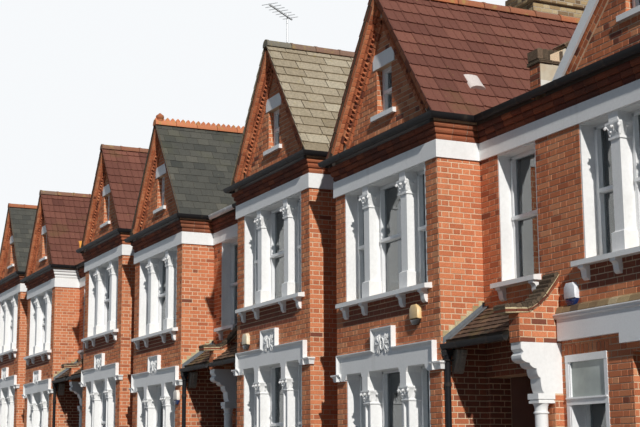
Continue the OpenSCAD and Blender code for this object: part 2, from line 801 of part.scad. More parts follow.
// A pipe on the rear wall with an offset under the eaves into the gutter
module rear_pipe(drop) {
    wall_y = rear_y + pipe_r + pipe_gap;
    gutter_y = rear_eaves_y + gutter_w / 2;
    bend_z = wall_h - pipe_bend_drop;
    translate([0, wall_y, -drop]) cylinder(r = pipe_r, h = drop + bend_z);
    translate([0, wall_y, bend_z]) sphere(r = pipe_r);
    translate([0, wall_y, bend_z]) rotate([-90, 0, 0]) cylinder(r = pipe_r, h = gutter_y - wall_y);
    translate([0, gutter_y, bend_z]) sphere(r = pipe_r);
    translate([0, gutter_y, bend_z]) cylinder(r = pipe_r, h = eaves_h - gutter_h - bend_z);
}

// Stone dressings in a triple window: thin jambs and a plain head
module dressings(z0, z1, head_h) {
    light_w = window_w / 2 - jamb_w;
    difference() {
        box([-window_w / 2, 0, z0], [window_w / 2, dressing_d, z1]);
        box([-light_w, -eps, z0 - eps], [light_w, dressing_d + eps, z1 - head_h]);
    }
}

shoulder_h = 75;
shoulder_w = 45;

// A head that stands out and hangs between the piers with the lights' corners cut off
module shouldered_head(z1, head_h, front_y) {
    light_w = window_w / 2 - jamb_w;
    soffit_z = z1 - head_h;
    difference() {
        union() {
            box([-light_w, 0, soffit_z - shoulder_h], [light_w, dressing_d, soffit_z]);
            box([-window_w / 2, front_y, soffit_z - shoulder_h], [window_w / 2, 0, z1]);
        }
        for (place = [-pier_x, pier_x])
            box([place - pier_w / 2, front_y - eps, soffit_z - shoulder_h - eps],
                [place + pier_w / 2, dressing_d + eps, soffit_z]);
        light_head(-light_w, -pier_x - pier_w / 2, soffit_z, front_y);
        light_head(-pier_x + pier_w / 2, pier_x - pier_w / 2, soffit_z, front_y);
        light_head(pier_x + pier_w / 2, light_w, soffit_z, front_y);
    }
}

// The top of a light, with its corners cut off
module light_head(x0, x1, z, front_y) {
    along_y(front_y - eps, dressing_d + eps, [
        [x0, z - shoulder_h - eps], [x1, z - shoulder_h - eps], [x1, z - shoulder_h],
        [x1 - shoulder_w, z], [x0 + shoulder_w, z], [x0, z - shoulder_h]]);
}

head_h = 15;
lintel_h = 40;

module first_dressings() {
    color([0.93, 0.93, 0.92]) {
        each_house() dressings(first_sill_z, frieze_z, head_h);
        at_end() dressings(first_sill_z, frieze_z, head_h);
    }
}

module ground_dressings() {
    color([0.93, 0.93, 0.92]) each_house() union() {
        dressings(ground_sill_z, ground_head_z, lintel_h);
        shouldered_head(ground_head_z, lintel_h, -fascia_out);
    }
}

first_impost_h = 110;
ground_impost_h = 260;
pier_base_out = 30;
pier_base_slope_h = 20;
ring_h = 30;
ring_out = 18;
abacus_h = 22;

// A plan a distance out from a pier on three sides, with its back against the sash
function pier_plan(out, front_y) = [
    [-pier_w / 2 - out, front_y - out], [pier_w / 2 + out, front_y - out],
    [pier_w / 2 + out, dressing_d], [-pier_w / 2 - out, dressing_d]];

module pier_block(out, front_y, z0, z1) {
    translate([0, 0, z0]) linear_extrude(z1 - z0) polygon(pier_plan(out, front_y));
}

// A bell that spreads from one plan to another
module pier_bell(out0, out1, front_y, z0, z1) {
    hull() {
        pier_block(out0, front_y, z0, z0 + eps);
        pier_block(out1, front_y, z1 - eps, z1);
    }
}

// A square window pier: base block, shaft, ring, bell capital and impost
module window_pier(z0, z1, impost_h, front_y, impost_y) {
    base_z = z0 + pier_base_h - pier_base_slope_h;
    capital_z = z1 - impost_h - capital_h;
    bell_z = capital_z + ring_h;
    abacus_z = z1 - impost_h - abacus_h;
    pier_block(0, front_y, z0, capital_z + eps);
    pier_block(pier_base_out, front_y, z0, base_z);
    pier_bell(pier_base_out, 0, front_y, base_z, z0 + pier_base_h);
    pier_block(ring_out, front_y, capital_z, bell_z);
    pier_bell(0, capital_out * 0.4, front_y, bell_z - eps, (bell_z + abacus_z) / 2);
    pier_bell(capital_out * 0.4, capital_out, front_y, (bell_z + abacus_z) / 2, abacus_z);
    pier_block(capital_out, front_y, abacus_z, abacus_z + abacus_h);
    pier_block(0, impost_y, abacus_z, z1);
}

module pier_pair(z0, z1, impost_h, front_y, impost_y) {
    for (place = [-pier_x, pier_x])
        translate([place, 0, 0]) window_pier(z0, z1, impost_h, front_y, impost_y);
}

first_pier_y = 20;

module first_columns() {
    color([0.93, 0.93, 0.92]) {
        each_house() pier_pair(first_sill_z, frieze_z - head_h, first_impost_h, first_pier_y, 0);
        at_end() pier_pair(first_sill_z, frieze_z - head_h, first_impost_h, first_pier_y, 0);
    }
}

module ground_columns() {
    color([0.93, 0.93, 0.92]) each_house()
        pier_pair(ground_sill_z, ground_head_z - lintel_h, ground_impost_h, 0, -fascia_out);
}

sill_fall = 15;

// A sill with a weathered top, back against the sash frame
module sill(w, z, depth) {
    along_x(-w / 2, w / 2, [[depth, z - sill_t], [depth, z], [0, z], [-sill_out, z - sill_fall],
        [-sill_out, z - sill_t], [0, z - sill_t]]);
}

// The console's parts: a flat nose, a belly and a tail that ends on the wall
console_nose_h = 35;
console_belly_h = 55;
console_belly_d = 45;
console_foot_d = 15;
curve_step = 15;

// A console: an S curve from the sill's underside down to the wall
module console(z) {
    out = sill_out - sill_fall;
    belly_z = z - console_nose_h;
    tail_z = belly_z - console_belly_h;
    tail_h = console_h - console_nose_h - console_belly_h;
    tail_d = out - console_belly_d - console_foot_d;
    along_x(-console_w / 2, console_w / 2, concat(
        [[0, z], [-out, z], [-out, belly_z]],
        [for (a = [0 : curve_step : 90])
            [-out + console_belly_d * sin(a), belly_z - console_belly_h * (1 - cos(a))]],
        [for (a = [0 : curve_step : 90])
            [-out + console_belly_d + tail_d * (1 - cos(a)), tail_z - tail_h * sin(a)]],
        [[0, z - console_h]]));
}

module console_sill(w, z, places) {
    sill(w, z, 0);
    for (x = places) translate([x, 0, 0]) console(z - sill_t);
}

end_console_x = 1160;
first_consoles = [-end_console_x, -pier_x, pier_x, end_console_x];

module first_sills() {
    color([0.93, 0.93, 0.92]) {
        each_house() console_sill(sill_w, first_sill_z, first_consoles);
        at_end() console_sill(sill_w, first_sill_z, first_consoles);
    }
}

module ground_sills() {
    color([0.93, 0.93, 0.92]) each_house() sill(sill_w, ground_sill_z, 0);
}

side_sill_near = 90;
side_sill_far = 30;
side_console_in = 60;
lining_t = 20;

// The narrow windows' sills on consoles, with white linings on the reveals
module side_sills() {
    shift = (side_sill_far - side_sill_near) / 2;
    color([0.93, 0.93, 0.92]) each_house() {
        translate([side_x + side_w / 2 + shift, bay_out, 0])
            console_sill(side_w + side_sill_near + side_sill_far, side_sill_z,
                [-side_w / 2 + side_console_in - shift, side_w / 2 - side_console_in - shift]);
        difference() {
            box([side_x, bay_out, side_sill_z], [side_x + side_w, bay_out + dressing_d, frieze_z]);
            box([side_x + lining_t, bay_out - eps, side_sill_z - eps],
                [side_x + side_w - lining_t, bay_out + dressing_d + eps, frieze_z - lining_t]);
        }
    }
}

// The label mould's outline, a distance in from its edge and down to a height
function label_outline(inset, low) = [
    [-label_w / 2 + inset, low], [-label_w / 2 + inset, label_z - inset],
    [-panel_w / 2 + inset, label_z - inset], [-panel_w / 2 + inset, panel_z - inset],
    [panel_w / 2 - inset, panel_z - inset], [panel_w / 2 - inset, label_z - inset],
    [label_w / 2 - inset, label_z - inset], [label_w / 2 - inset, low]];

// Steps of the rim's hollow: each a distance in from the edge and a depth out from the brick
rim_steps = [[20, 60], [45, 42], [70, 33]];

// An ear that turns outwards at the label mould's end and wraps the bay's corner
module label_ear() {
    box([label_w / 2 - border_w, -label_out, label_low], [half_bay, 0, label_low + ear_h]);
    box([half_bay, -label_out, label_low], [half_bay + label_out, -label_out / 3, label_low + ear_h]);
}

// The label mould: a hollow rim round a flat stone, with ears at its dropped ends
module label_moulds() {
    color([0.93, 0.93, 0.92]) each_house() {
        difference() {
            along_y(-label_out, 0, label_outline(0, label_low));
            for (rim = rim_steps)
                along_y(-label_out - eps, -rim[1], label_outline(rim[0], label_low - eps));
            along_y(-label_out - eps, eps, label_outline(border_w, label_low - eps));
        }
        for (side = [0, 1]) mirror([side, 0, 0]) label_ear();
    }
}

// The flat stone inside the rim, where the panel's ornament is carved
module carved_fields() {
    color([0.90, 0.91, 0.92]) each_house() difference() {
        along_y(-fascia_out, 0, label_outline(border_w, label_low));
        box([-window_w / 2, -fascia_out - eps, label_low - eps], [window_w / 2, eps, ground_head_z]);
    }
}

attic_lintel_w = 650;
attic_lintel_h = 220;
attic_lintel_out = 15;
attic_sill_w = 680;
attic_sill_h = 70;
attic_sill_out = 60;

end_attic_rise = 600;
end_attic_z = wall_h + end_attic_rise;
end_attic_h = 470;
end_lintel_h = 60;

module attic_stone_pair(z, h, lintel_w, lintel_height) {
    box([-lintel_w / 2, -attic_lintel_out, z + h], [lintel_w / 2, 0, z + h + lintel_height]);
    box([-attic_sill_w / 2, -attic_sill_out, z - attic_sill_h], [attic_sill_w / 2, 0, z]);
}

module attic_stones() {
    color([0.93, 0.93, 0.92]) {
        each_house() translate([0, gable_back, 0])
            attic_stone_pair(attic_z, attic_h, attic_lintel_w, attic_lintel_h);
        at_end() attic_stone_pair(end_attic_z, end_attic_h, attic_w, end_lintel_h);
    }
}

// A sash frame that fills an opening, with a meeting rail at its middle
module sash(x0, x1, z0, z1, mullions, mullion_w, stile_w = sash_w) {
    edges = concat([x0], [for (m = mullions) each [m - mullion_w / 2, m + mullion_w / 2]], [x1]);
    mid = (z0 + z1) / 2;
    difference() {
        box([x0, 0, z0], [x1, sash_d, z1]);
        for (k = [0 : 2 : len(edges) - 2]) {
            left = edges[k] + (k == 0 ? stile_w : 0);
            right = edges[k + 1] - (k == len(edges) - 2 ? stile_w : 0);
            box([left, -eps, z0 + sash_w], [right, sash_d + eps, mid - sash_w / 2]);
            box([left, -eps, mid + sash_w / 2], [right, sash_d + eps, z1 - sash_w]);
        }
    }
}

triple_mullions = [-pier_x, pier_x];
triple_mullion_w = pier_w + 120;
triple_stile_w = 95;
triple_edge = window_w / 2;

module triple_sash(z0, z1) {
    translate([0, dressing_d, 0])
        sash(-triple_edge, triple_edge, z0, z1, triple_mullions, triple_mullion_w, triple_stile_w);
}

module rear_sash(x, z) {
    sash(x - rear_window_w / 2, x + rear_window_w / 2, z, z + rear_window_h, [], 0);
}

module rear_sashes(left, right) {
    translate([0, rear_y - dressing_d - sash_d, 0]) {
        for (x = rear_windows(left, right))
            rear_sash(x, first_sill_z);
        rear_sash(rear_windows(left, right)[0], ground_sill_z);
    }
}

module attic_sash(z, h) {
    translate([0, attic_sash_y, 0]) sash(-attic_w / 2, attic_w / 2, z, z + h, [], 0);
}

attic_sash_y = 90;

module sash_windows() {
    color([0.90, 0.91, 0.92]) {
        each_house() {
            triple_sash(first_sill_z, frieze_z);
            triple_sash(ground_sill_z, ground_head_z);
            translate([0, bay_out + dressing_d, 0])
                sash(side_x, side_x + side_w, side_sill_z, frieze_z, [], 0);
            translate([0, gable_back, 0]) attic_sash(attic_z, attic_h);
        }
        row() for (i = houses) at_house(i) rear_sashes(house_left(i), house_right(i));
        at_end() {
            triple_sash(first_sill_z, frieze_z);
            translate([0, dressing_d, 0])
                sash(end_window_x, end_window_x + end_window_w, end_window_z, end_window_top, [], 0);
            attic_sash(end_attic_z, end_attic_h);
        }
        at_end_rear() rear_sashes(end_left, end_right);
    }
}

glass_inset = 20;

module pane(x0, x1, y, z0, z1) {
    box([x0 + glass_inset, y, z0 + glass_inset], [x1 - glass_inset, y + glass_t, z1 - glass_inset]);
}

module rear_panes(left, right) {
    y = rear_y - dressing_d - sash_d - glass_t;
    for (x = rear_windows(left, right))
        rear_pane(x, y, first_sill_z);
    rear_pane(rear_windows(left, right)[0], y, ground_sill_z);
}

module rear_pane(x, y, z) {
    pane(x - rear_window_w / 2, x + rear_window_w / 2, y, z, z + rear_window_h);
}

fanlight_inset = 40;

module fanlight_pane(mid) {
    y = lobby_y + fanlight_inset;
    box([mid - door_w / 2, y, ground_floor_z + door_h + frame_w],
        [mid + door_w / 2, y + glass_t, ground_floor_z + door_h + fanlight_h - frame_w]);
}

module window_glass() {
    y = dressing_d + sash_d;
    color([0.55, 0.65, 0.72, 0.5]) {
        each_house() {
            pane(-triple_edge, triple_edge, y, first_sill_z, frieze_z);
            pane(-triple_edge, triple_edge, y, ground_sill_z, ground_head_z);
            pane(side_x, side_x + side_w, bay_out + y, side_sill_z, frieze_z);
            pane(-attic_w / 2, attic_w / 2, gable_back + attic_sash_y + sash_d, attic_z, attic_z + attic_h);
        }
        row() for (i = houses) at_house(i) {
            rear_panes(house_left(i), house_right(i));
            fanlight_pane(door_x(i));
        }
        at_end() {
            pane(-triple_edge, triple_edge, y, first_sill_z, frieze_z);
            pane(end_window_x, end_window_x + end_window_w, y, end_window_z, end_window_top);
            pane(-attic_w / 2, attic_w / 2, attic_sash_y + sash_d, end_attic_z, end_attic_z + end_attic_h);
        }
        at_end_rear() {
            rear_panes(end_left, end_right);
            fanlight_pane(end_lobby_mid);
        }
    }
}

module rear_sill_set(left, right) {
    for (x = rear_windows(left, right))
        rear_sill(x, first_sill_z);
    rear_sill(rear_windows(left, right)[0], ground_sill_z);
}

rear_sill_out = 60;

module rear_sill(x, z) {
    half_w = rear_window_w / 2 + rear_sill_out;
    box([x - half_w, rear_y, z - sill_t], [x + half_w, rear_y + rear_sill_out, z]);
}

module rear_sills() {
    color([0.85, 0.84, 0.80]) {
        row() for (i = houses) at_house(i) rear_sill_set(house_left(i), house_right(i));
        at_end_rear() rear_sill_set(end_left, end_right);
    }
}

band_step_x = -540;
band_drop = 120;
band_end_gap = 30;
band_slope_h = 60;

// The white band over the end house's ground floor, deeper past its window
module shop_band() {
    left = end_left + band_end_gap;
    right = end_right + party_t;
    color([0.93, 0.93, 0.92]) at_end() {
        along_y(-band_out, 0, [
            [left, band_z], [band_step_x, band_z], [band_step_x, band_z - band_drop],
            [right, band_z - band_drop], [right, band_top], [left, band_top]]);
        along_x(left, right, [[0, band_top - eps], [0, band_top + band_slope_h],
            [-band_out, band_top], [-band_out, band_top - eps]]);
    }
}

porch_slope = (porch_ridge_z - porch_eaves_z) / (bay_out - porch_gutter_y - porch_gutter_w / 2);

// A lean-to roof between the bay and the porch wall
module porch_roofs() {
    y0 = porch_gutter_y + porch_gutter_w;
    color([0.42, 0.30, 0.24]) row() for (i = houses) at_house(i)
        along_x(half_bay, lobby_end(i), [
            [y0, porch_ridge_z - (bay_out - y0) * porch_slope - porch_roof_t],
            [y0, porch_ridge_z - (bay_out - y0) * porch_slope],
            [bay_out, porch_ridge_z], [bay_out, porch_ridge_z - porch_roof_t]]);
}

porch_lines = [for (i = [0 : 2 : bay_count]) i];
function porch_line_x(i) = (i == bay_count) ? row_left + half_party : party_x(i);

module at_porch_walls() {
    row() for (i = porch_lines) translate([porch_line_x(i), 0, party_level(i)]) children();
}

// Depth of the brick respond behind a porch column
respond_d = 120;

sweep_y = 190;
sweep_steps = 8;

// The porch wall's top: level in front, then swept up to the house
function porch_top(lift) = [for (k = [0 : sweep_steps])
    let (share = k / sweep_steps)
    [sweep_y + (bay_out - sweep_y) * share,
        porch_front_z + lift + (porch_back_z - porch_front_z) * pow(share, 1.6)]];

// The brick wall between two porches, carried by the bracket
module porch_walls() {
    color([0.68, 0.30, 0.18]) {
        at_porch_walls() along_x(-half_party, half_party, concat(
            [[bay_out, porch_wall_z], [porch_wall_y, porch_wall_z], [porch_wall_y, porch_front_z]],
            porch_top(0)));
        row() for (i = porch_lines) translate([porch_line_x(i), 0, 0])
            box([-half_party, bay_out - respond_d, 0], [half_party, bay_out, party_level(i) + bracket_z]);
    }
}

porch_coping_t = 60;
porch_coping_front = 210;
porch_coping_fall = 25;

// The coping follows the wall's top and runs on over the bracket's nose
module porch_copings() {
    nose_y = porch_wall_y - porch_coping_front;
    nose_z = porch_front_z - porch_coping_fall;
    color([0.38, 0.35, 0.30]) at_porch_walls()
        along_x(-half_party - porch_coping_out, half_party + porch_coping_out, concat(
            [[porch_wall_y, porch_front_z], [nose_y, nose_z], [nose_y, nose_z + porch_coping_t / 2],
            [porch_wall_y, porch_front_z + porch_coping_t]],
            porch_top(porch_coping_t), reversed(porch_top(0))));
}

bracket_steps = 4;
// The bracket's front: a tall head with a groove under it, down to the nose
bracket_head_h = 80;
bracket_groove_h = 30;
bracket_groove_d = 30;
bracket_nose_drop = 190;

// Scallops that step back and down from the nose to the column, each a quarter round
function scallop(k, y0, z0, dy, dz) = [for (a = [0 : 5])
    [y0 + k * dy + dy * (1 - cos(a * 18)), z0 - k * dz - dz * sin(a * 18)]];

module porch_brackets() {
    nose_z = porch_wall_z - bracket_nose_drop;
    groove_z = porch_wall_z - bracket_head_h;
    column_front = porch_column_y - porch_column_r;
    dy = (column_front + bracket_out) / bracket_steps;
    dz = (nose_z - bracket_z) / bracket_steps;
    color([0.94, 0.94, 0.93]) at_porch_walls()
        along_x(-half_party, half_party, concat(
            [[bay_out, bracket_z], [bay_out, porch_wall_z], [-bracket_out, porch_wall_z],
            [-bracket_out, groove_z], [-bracket_out + bracket_groove_d, groove_z - bracket_groove_h / 2],
            [-bracket_out, groove_z - bracket_groove_h], [-bracket_out, nose_z]],
            [for (k = [0 : bracket_steps - 1]) each scallop(k, -bracket_out, nose_z, dy, dz)]));
    color([0.94, 0.94, 0.93]) each_house() porch_corbel(porch_eaves_z - porch_gutter_h);
}

corbel_w = 150;
corbel_h = 300;
corbel_gap = 80;
corbel_out = 165;
corbel_nose_h = 60;

// A stone corbel on the bay's return that carries the porch roof's foot
module porch_corbel(top_z) {
    curve_h = corbel_h - corbel_nose_h;
    translate([half_bay, porch_gutter_y + porch_gutter_w + corbel_gap, top_z - corbel_h])
        along_y(0, corbel_w, concat(
            [[0, 0], [0, corbel_h], [corbel_out, corbel_h], [corbel_out, curve_h]],
            [for (a = [curve_step : curve_step : 90 - curve_step])
                [corbel_out * cos(a), curve_h * (1 - sin(a))]]));
}

column_base_h = 450;
porch_cap_neck_h = 70;
porch_cap_out = 30;
porch_cap_w = 2 * (porch_column_r + porch_cap_out);

// Round columns on square base blocks, with a spreading neck under a square capital
module porch_columns() {
    cap_w = porch_cap_w;
    back_y = bay_out - respond_d - porch_column_y;
    color([0.94, 0.94, 0.93]) row() for (i = porch_lines)
        translate([porch_line_x(i), porch_column_y, 0]) {
            box([-cap_w / 2, -cap_w / 2, 0],
                [cap_w / 2, back_y, party_level(i) + column_base_h]);
            translate([0, 0, party_level(i)]) {
                translate([0, 0, column_base_h])
                    cylinder(r = porch_column_r, h = bracket_z - column_base_h - porch_capital_h);
                translate([0, 0, bracket_z - porch_capital_h])
                    cylinder(r1 = porch_column_r, r2 = cap_w / 2, h = porch_cap_neck_h);
                box([-cap_w / 2, -cap_w / 2, bracket_z - porch_capital_h + porch_cap_neck_h],
                    [cap_w / 2, back_y, bracket_z]);
            }
        }
}

module door_frame(mid) {
    difference() {
        box([mid - door_w / 2 - frame_w, lobby_y, ground_floor_z],
            [mid + door_w / 2 + frame_w, lobby_y + door_wall_t, ground_floor_z + door_h + fanlight_h]);
        box([mid - door_w / 2, lobby_y - eps, ground_floor_z - eps],
            [mid + door_w / 2, lobby_y + door_wall_t + eps, ground_floor_z + door_h]);
        box([mid - door_w / 2, lobby_y - eps, ground_floor_z + door_h + frame_w],
            [mid + door_w / 2, lobby_y + door_wall_t + eps, ground_floor_z + door_h + fanlight_h - frame_w]);
    }
}

module door_frames() {
    color([0.90, 0.90, 0.88]) {
        row() for (i = houses) at_house(i) door_frame(door_x(i));
        at_end_rear() door_frame(end_lobby_mid);
    }
}

door_inset = 30;
door_leaf_t = 45;

module door_leaf(mid) {
    box([mid - door_w / 2, lobby_y + door_inset, ground_floor_z],
        [mid + door_w / 2, lobby_y + door_inset + door_leaf_t, ground_floor_z + door_h]);
}

module front_doors() {
    color([0.16, 0.24, 0.22]) {
        row() for (i = houses) at_house(i) door_leaf(door_x(i));
        at_end_rear() door_leaf(end_lobby_mid);
    }
}

module rear_door(left, right) {
    x = rear_windows(left, right)[1];
    box([x - rear_door_w / 2, rear_y - dressing_d - sash_d, ground_floor_z],
        [x + rear_door_w / 2, rear_y - dressing_d, ground_floor_z + rear_door_h]);
}

module rear_doors() {
    color([0.88, 0.88, 0.86]) {
        row() for (i = houses) at_house(i) rear_door(house_left(i), house_right(i));
        at_end_rear() rear_door(end_left, end_right);
    }
}

step_d = 300;
pipe_clear = 40;
function step_end(i) = porch_party(i) - porch_cap_w / 2;

// Two steps up to each entrance, running down to the lowest ground
module doorsteps() {
    step_x = half_bay + head_box_w / 2 + pipe_r + pipe_clear;
    color([0.58, 0.55, 0.50]) {
        row() for (i = houses) at_house(i) {
            box([step_x, bay_out - step_d, -level(i)], [step_end(i), bay_out, ground_floor_z]);
            box([step_x, bay_out - 2 * step_d, -level(i)],
                [step_end(i), bay_out - step_d, ground_floor_z / 2]);
        }
        at_end() box([end_door_x, -step_d, 0], [end_door_x + end_door_w, 0, ground_floor_z / 2]);
    }
}

alarm_w = 240;
alarm_h = 280;
alarm_t = 70;

module alarm_box() {
    along_y(-alarm_t, 0, [[-alarm_w / 2, 0], [-alarm_w / 4, -alarm_h / 4], [alarm_w / 4, -alarm_h / 4],
        [alarm_w / 2, 0], [alarm_w / 2, alarm_h * 0.75], [-alarm_w / 2, alarm_h * 0.75]]);
}

// Each alarm box's house, and its place from the middle of the bay and the house's ground
alarm_places = [[0, 0.6 * half_bay, panel_z + 15], [1, -0.685 * half_bay, label_z + 110],
    [2, half_bay - 160, label_low - 295]];
end_alarm_z = band_top + 180;

module alarm_boxes() {
    color([0.80, 0.78, 0.60]) {
        row() for (place = alarm_places) if (place[0] < bay_count)
            translate([bay_mid(place[0]) + place[1], 0, level(place[0]) + place[2]]) alarm_box();
        at_end() translate([end_left + alarm_w + 20, 0, end_alarm_z]) alarm_box();
    }
}

mast_r = 15;
mast_h = 520;
mast_y = 300;
boom_w = 900;
boom_t = 24;
boom_drop = 60;
boom_turn = 50;
// Share of the boom that lies behind the mast
boom_tail = 0.15;
rod_h = 300;
rod_r = 6;

// An aerial on a mast on one gable's ridge: a boom with rods across it
module aerial() {
    color([0.55, 0.56, 0.58]) row() at_house(1)
        translate([0, mast_y, gable_ridge_z + ridge_r - ridge_sink]) {
            cylinder(r = mast_r, h = mast_h);
            translate([0, mast_r, mast_h - boom_drop]) rotate([0, 0, boom_turn]) {
                box([(boom_tail - 1) * boom_w, 0, -boom_t / 2], [boom_tail * boom_w, boom_t, boom_t / 2]);
                for (share = [boom_tail - 0.97 : 0.15 : boom_tail])
                    translate([share * boom_w, (boom_t + rod_h) / 2, boom_t / 2])
                        rotate([90, 0, 0]) cylinder(r = rod_r, h = rod_h);
            }
        }
}

vent_w = 300;
vent_d = 250;
vent_t = 45;
vent_x = gable_foot * 0.72;
vent_y = 710;

// Flat vents low on the gable roofs' porch slopes
module roof_vents() {
    color([0.85, 0.83, 0.78]) row() for (i = [0 : 4 : bay_count - 1]) at_house(i)
        translate([vent_x, vent_y, gable_ridge_z - vent_x * tan(gable_pitch)])
            rotate([0, gable_pitch, 0]) translate([-vent_w / 2, 0, 0]) cube([vent_w, vent_d, vent_t]);
}

front_walls();
gable_walls();
party_walls();
rear_walls();
lobby_walls();
ground_floors();
first_floors();
attic_floors();
chimney_stacks();
chimney_pots();
roof_a();
roof_b();
roof_c();
roof_d();
roof_e();
roof_f();
roof_g();
ridge_tiles();
bargeboards();
parapet_coping();
cornices();
friezes();
gutters();
downpipes();
first_dressings();
first_columns();
first_sills();
ground_dressings();
ground_columns();
ground_sills();
label_moulds();
carved_fields();
attic_stones();
side_sills();
sash_windows();
window_glass();
rear_sills();
shop_band();
porch_roofs();
porch_walls();
porch_copings();
porch_brackets();
porch_columns();
door_frames();
front_doors();
rear_doors();
doorsteps();
alarm_boxes();
aerial();
roof_vents();
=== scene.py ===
"""The looks of a row of brick terraced houses: laid bricks, tiles, slates, carved stone, sashes, glass."""
import json
import math
import random

import bmesh
import bpy
from mathutils import Matrix, Vector

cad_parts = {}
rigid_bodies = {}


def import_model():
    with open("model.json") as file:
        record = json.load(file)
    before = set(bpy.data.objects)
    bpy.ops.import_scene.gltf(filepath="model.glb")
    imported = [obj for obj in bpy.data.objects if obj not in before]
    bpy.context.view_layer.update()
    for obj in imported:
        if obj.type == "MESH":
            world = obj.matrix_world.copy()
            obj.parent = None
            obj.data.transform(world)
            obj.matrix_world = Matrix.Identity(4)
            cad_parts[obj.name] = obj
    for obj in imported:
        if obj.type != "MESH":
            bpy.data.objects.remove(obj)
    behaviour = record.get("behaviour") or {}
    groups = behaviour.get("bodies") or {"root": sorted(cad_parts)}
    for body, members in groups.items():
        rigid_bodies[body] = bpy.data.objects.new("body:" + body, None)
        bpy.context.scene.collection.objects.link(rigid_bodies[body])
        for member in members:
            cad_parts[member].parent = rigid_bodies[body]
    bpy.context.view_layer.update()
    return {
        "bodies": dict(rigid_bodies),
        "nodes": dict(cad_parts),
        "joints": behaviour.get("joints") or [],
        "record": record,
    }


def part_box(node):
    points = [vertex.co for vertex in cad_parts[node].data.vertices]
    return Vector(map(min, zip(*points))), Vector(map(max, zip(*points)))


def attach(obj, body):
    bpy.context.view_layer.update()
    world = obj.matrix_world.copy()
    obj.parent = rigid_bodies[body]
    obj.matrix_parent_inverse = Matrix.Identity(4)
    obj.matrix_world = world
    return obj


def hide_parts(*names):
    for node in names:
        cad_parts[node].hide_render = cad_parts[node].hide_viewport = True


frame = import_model()
nodes = frame["nodes"]
random.seed(11)

# Sizes in metres, as in the solids
BAY, OUT, REAR = 1.525, 0.67, 10.088
EAVES, WALL_TOP, FRIEZE, CORNICE = 6.32, 6.22, 5.745, 5.985
MAIN_PITCH, END_PITCH = math.radians(25.6), math.radians(44)
MAIN_EAVES, MAIN_RIDGE_Y = 0.58, 5.379
MAIN_RIDGE = EAVES + (MAIN_RIDGE_Y - MAIN_EAVES) * math.tan(MAIN_PITCH)
GABLE_RIDGE = MAIN_RIDGE - 0.039
GABLE_FOOT = BAY + 0.09
GABLE_PITCH = math.atan((GABLE_RIDGE - EAVES) / GABLE_FOOT)
END_FOOT = 1.67
END_RIDGE = EAVES + END_FOOT * math.tan(END_PITCH)
ROOF_T, VERGE, END_VERGE, VERGE_BAND, GABLE_BACK = 0.10, 0.09, 0.06, 0.15, 0.05
ATTIC_W, ATTIC_Z, ATTIC_TOP, END_ATTIC_Z, END_ATTIC_TOP = 0.225, 6.73, 7.43, 6.82, 7.29
WINDOW, FIRST_SILL, GROUND_SILL, GROUND_HEAD = 1.21, 4.10, 1.05, 3.08
SIDE_WINDOW_LEFT, SIDE_WINDOW_RIGHT, SIDE_SILL = 1.955, 2.825, 4.05
GROUND_FLOOR, ENTRANCE_LEFT, ENTRANCE_HEAD, REVEAL = 0.3, 1.60, 2.85, 0.32
END_LEFT, END_RIGHT = -1.85, 1.87
SHOP_LEFT, SHOP_RIGHT, END_DOOR_LEFT, END_DOOR_RIGHT, END_HEAD = -1.62, -0.88, -0.41, 1.09, 2.96
HALF_PARTY, PLAIN_PARTY, PORCH_PARTY, END_SHIFT = 0.11, 2.0, 1.465 + BAY, 0.115
PARAPET, KNEELER = 0.40, 6.64
MAIN_DROP = ROOF_T / math.cos(MAIN_PITCH)
PIER_X, PIER_W, SASH_Y = 0.56, 0.17, 0.19
PORCH_EAVES, PORCH_RIDGE, PORCH_RUN = 3.27, 3.75, 0.65
PORCH_SLOPE = (PORCH_RIDGE - PORCH_EAVES) / PORCH_RUN
PORCH_FRONT, PIER_FRONT, COLUMN_TOP, PORCH_FOOT, PORCH_TOP = 0.08, 0.55, 2.56, 3.56, 4.0
BRACKET_TOP = 3.16
STACK_HALF, STACK_FRONT, STACK_BACK, STACK_H = 0.35, 3.85, 5.15, 1.0
REAR_WINDOW_HALF, REAR_WINDOW_H, REAR_DOOR_HALF, REAR_DOOR_HEAD, END_REAR_RIGHT = 0.55, 1.5, 0.45, 2.4, 1.65
COURSE, JOINT, LONG, SHORT = 0.075, 0.010, 0.215, 0.1025

# The street frame: X 0 on the nearest bay's right corner, Y 0 on the bay fronts, Z 0 on the lowest ground
ROW_RIGHT, ROW_LEFT = 5.30, -28.585
SHIFT = Vector((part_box("party_walls")[1].x - ROW_RIGHT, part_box("rear_walls")[1].y - REAR, 0))


def street(x, y, z):
    return Vector((x, y, z)) + SHIFT


def make_camera(place, yaw, pitch, roll, lens):
    """A camera that looks along the street, matched to the photograph."""
    ahead = Vector((-math.cos(yaw), math.sin(yaw), 0))
    side = Vector((math.sin(yaw), math.cos(yaw), 0))
    look = ahead * math.cos(pitch) + Vector((0, 0, math.sin(pitch)))
    level_up = Vector((0, 0, math.cos(pitch))) - ahead * math.sin(pitch)
    right = side * math.cos(roll) + level_up * math.sin(roll)
    up = level_up * math.cos(roll) - side * math.sin(roll)
    made = bpy.data.objects.new("Camera", bpy.data.cameras.new("Camera"))
    bpy.context.scene.collection.objects.link(made)
    made.data.sensor_fit = "HORIZONTAL"
    made.data.sensor_width = 36
    made.data.lens = lens
    made.data.clip_end = 400
    made.matrix_world = Matrix.Translation(place) @ Matrix((right, up, -look)).transposed().to_4x4()
    return made


bpy.context.scene.camera = make_camera(
    place=street(15.0333, -8.8928, 1.75), yaw=math.radians(25.4936), pitch=math.radians(10.565),
    roll=math.radians(-0.386), lens=75.64)
bpy.context.scene.view_settings.view_transform = "Standard"


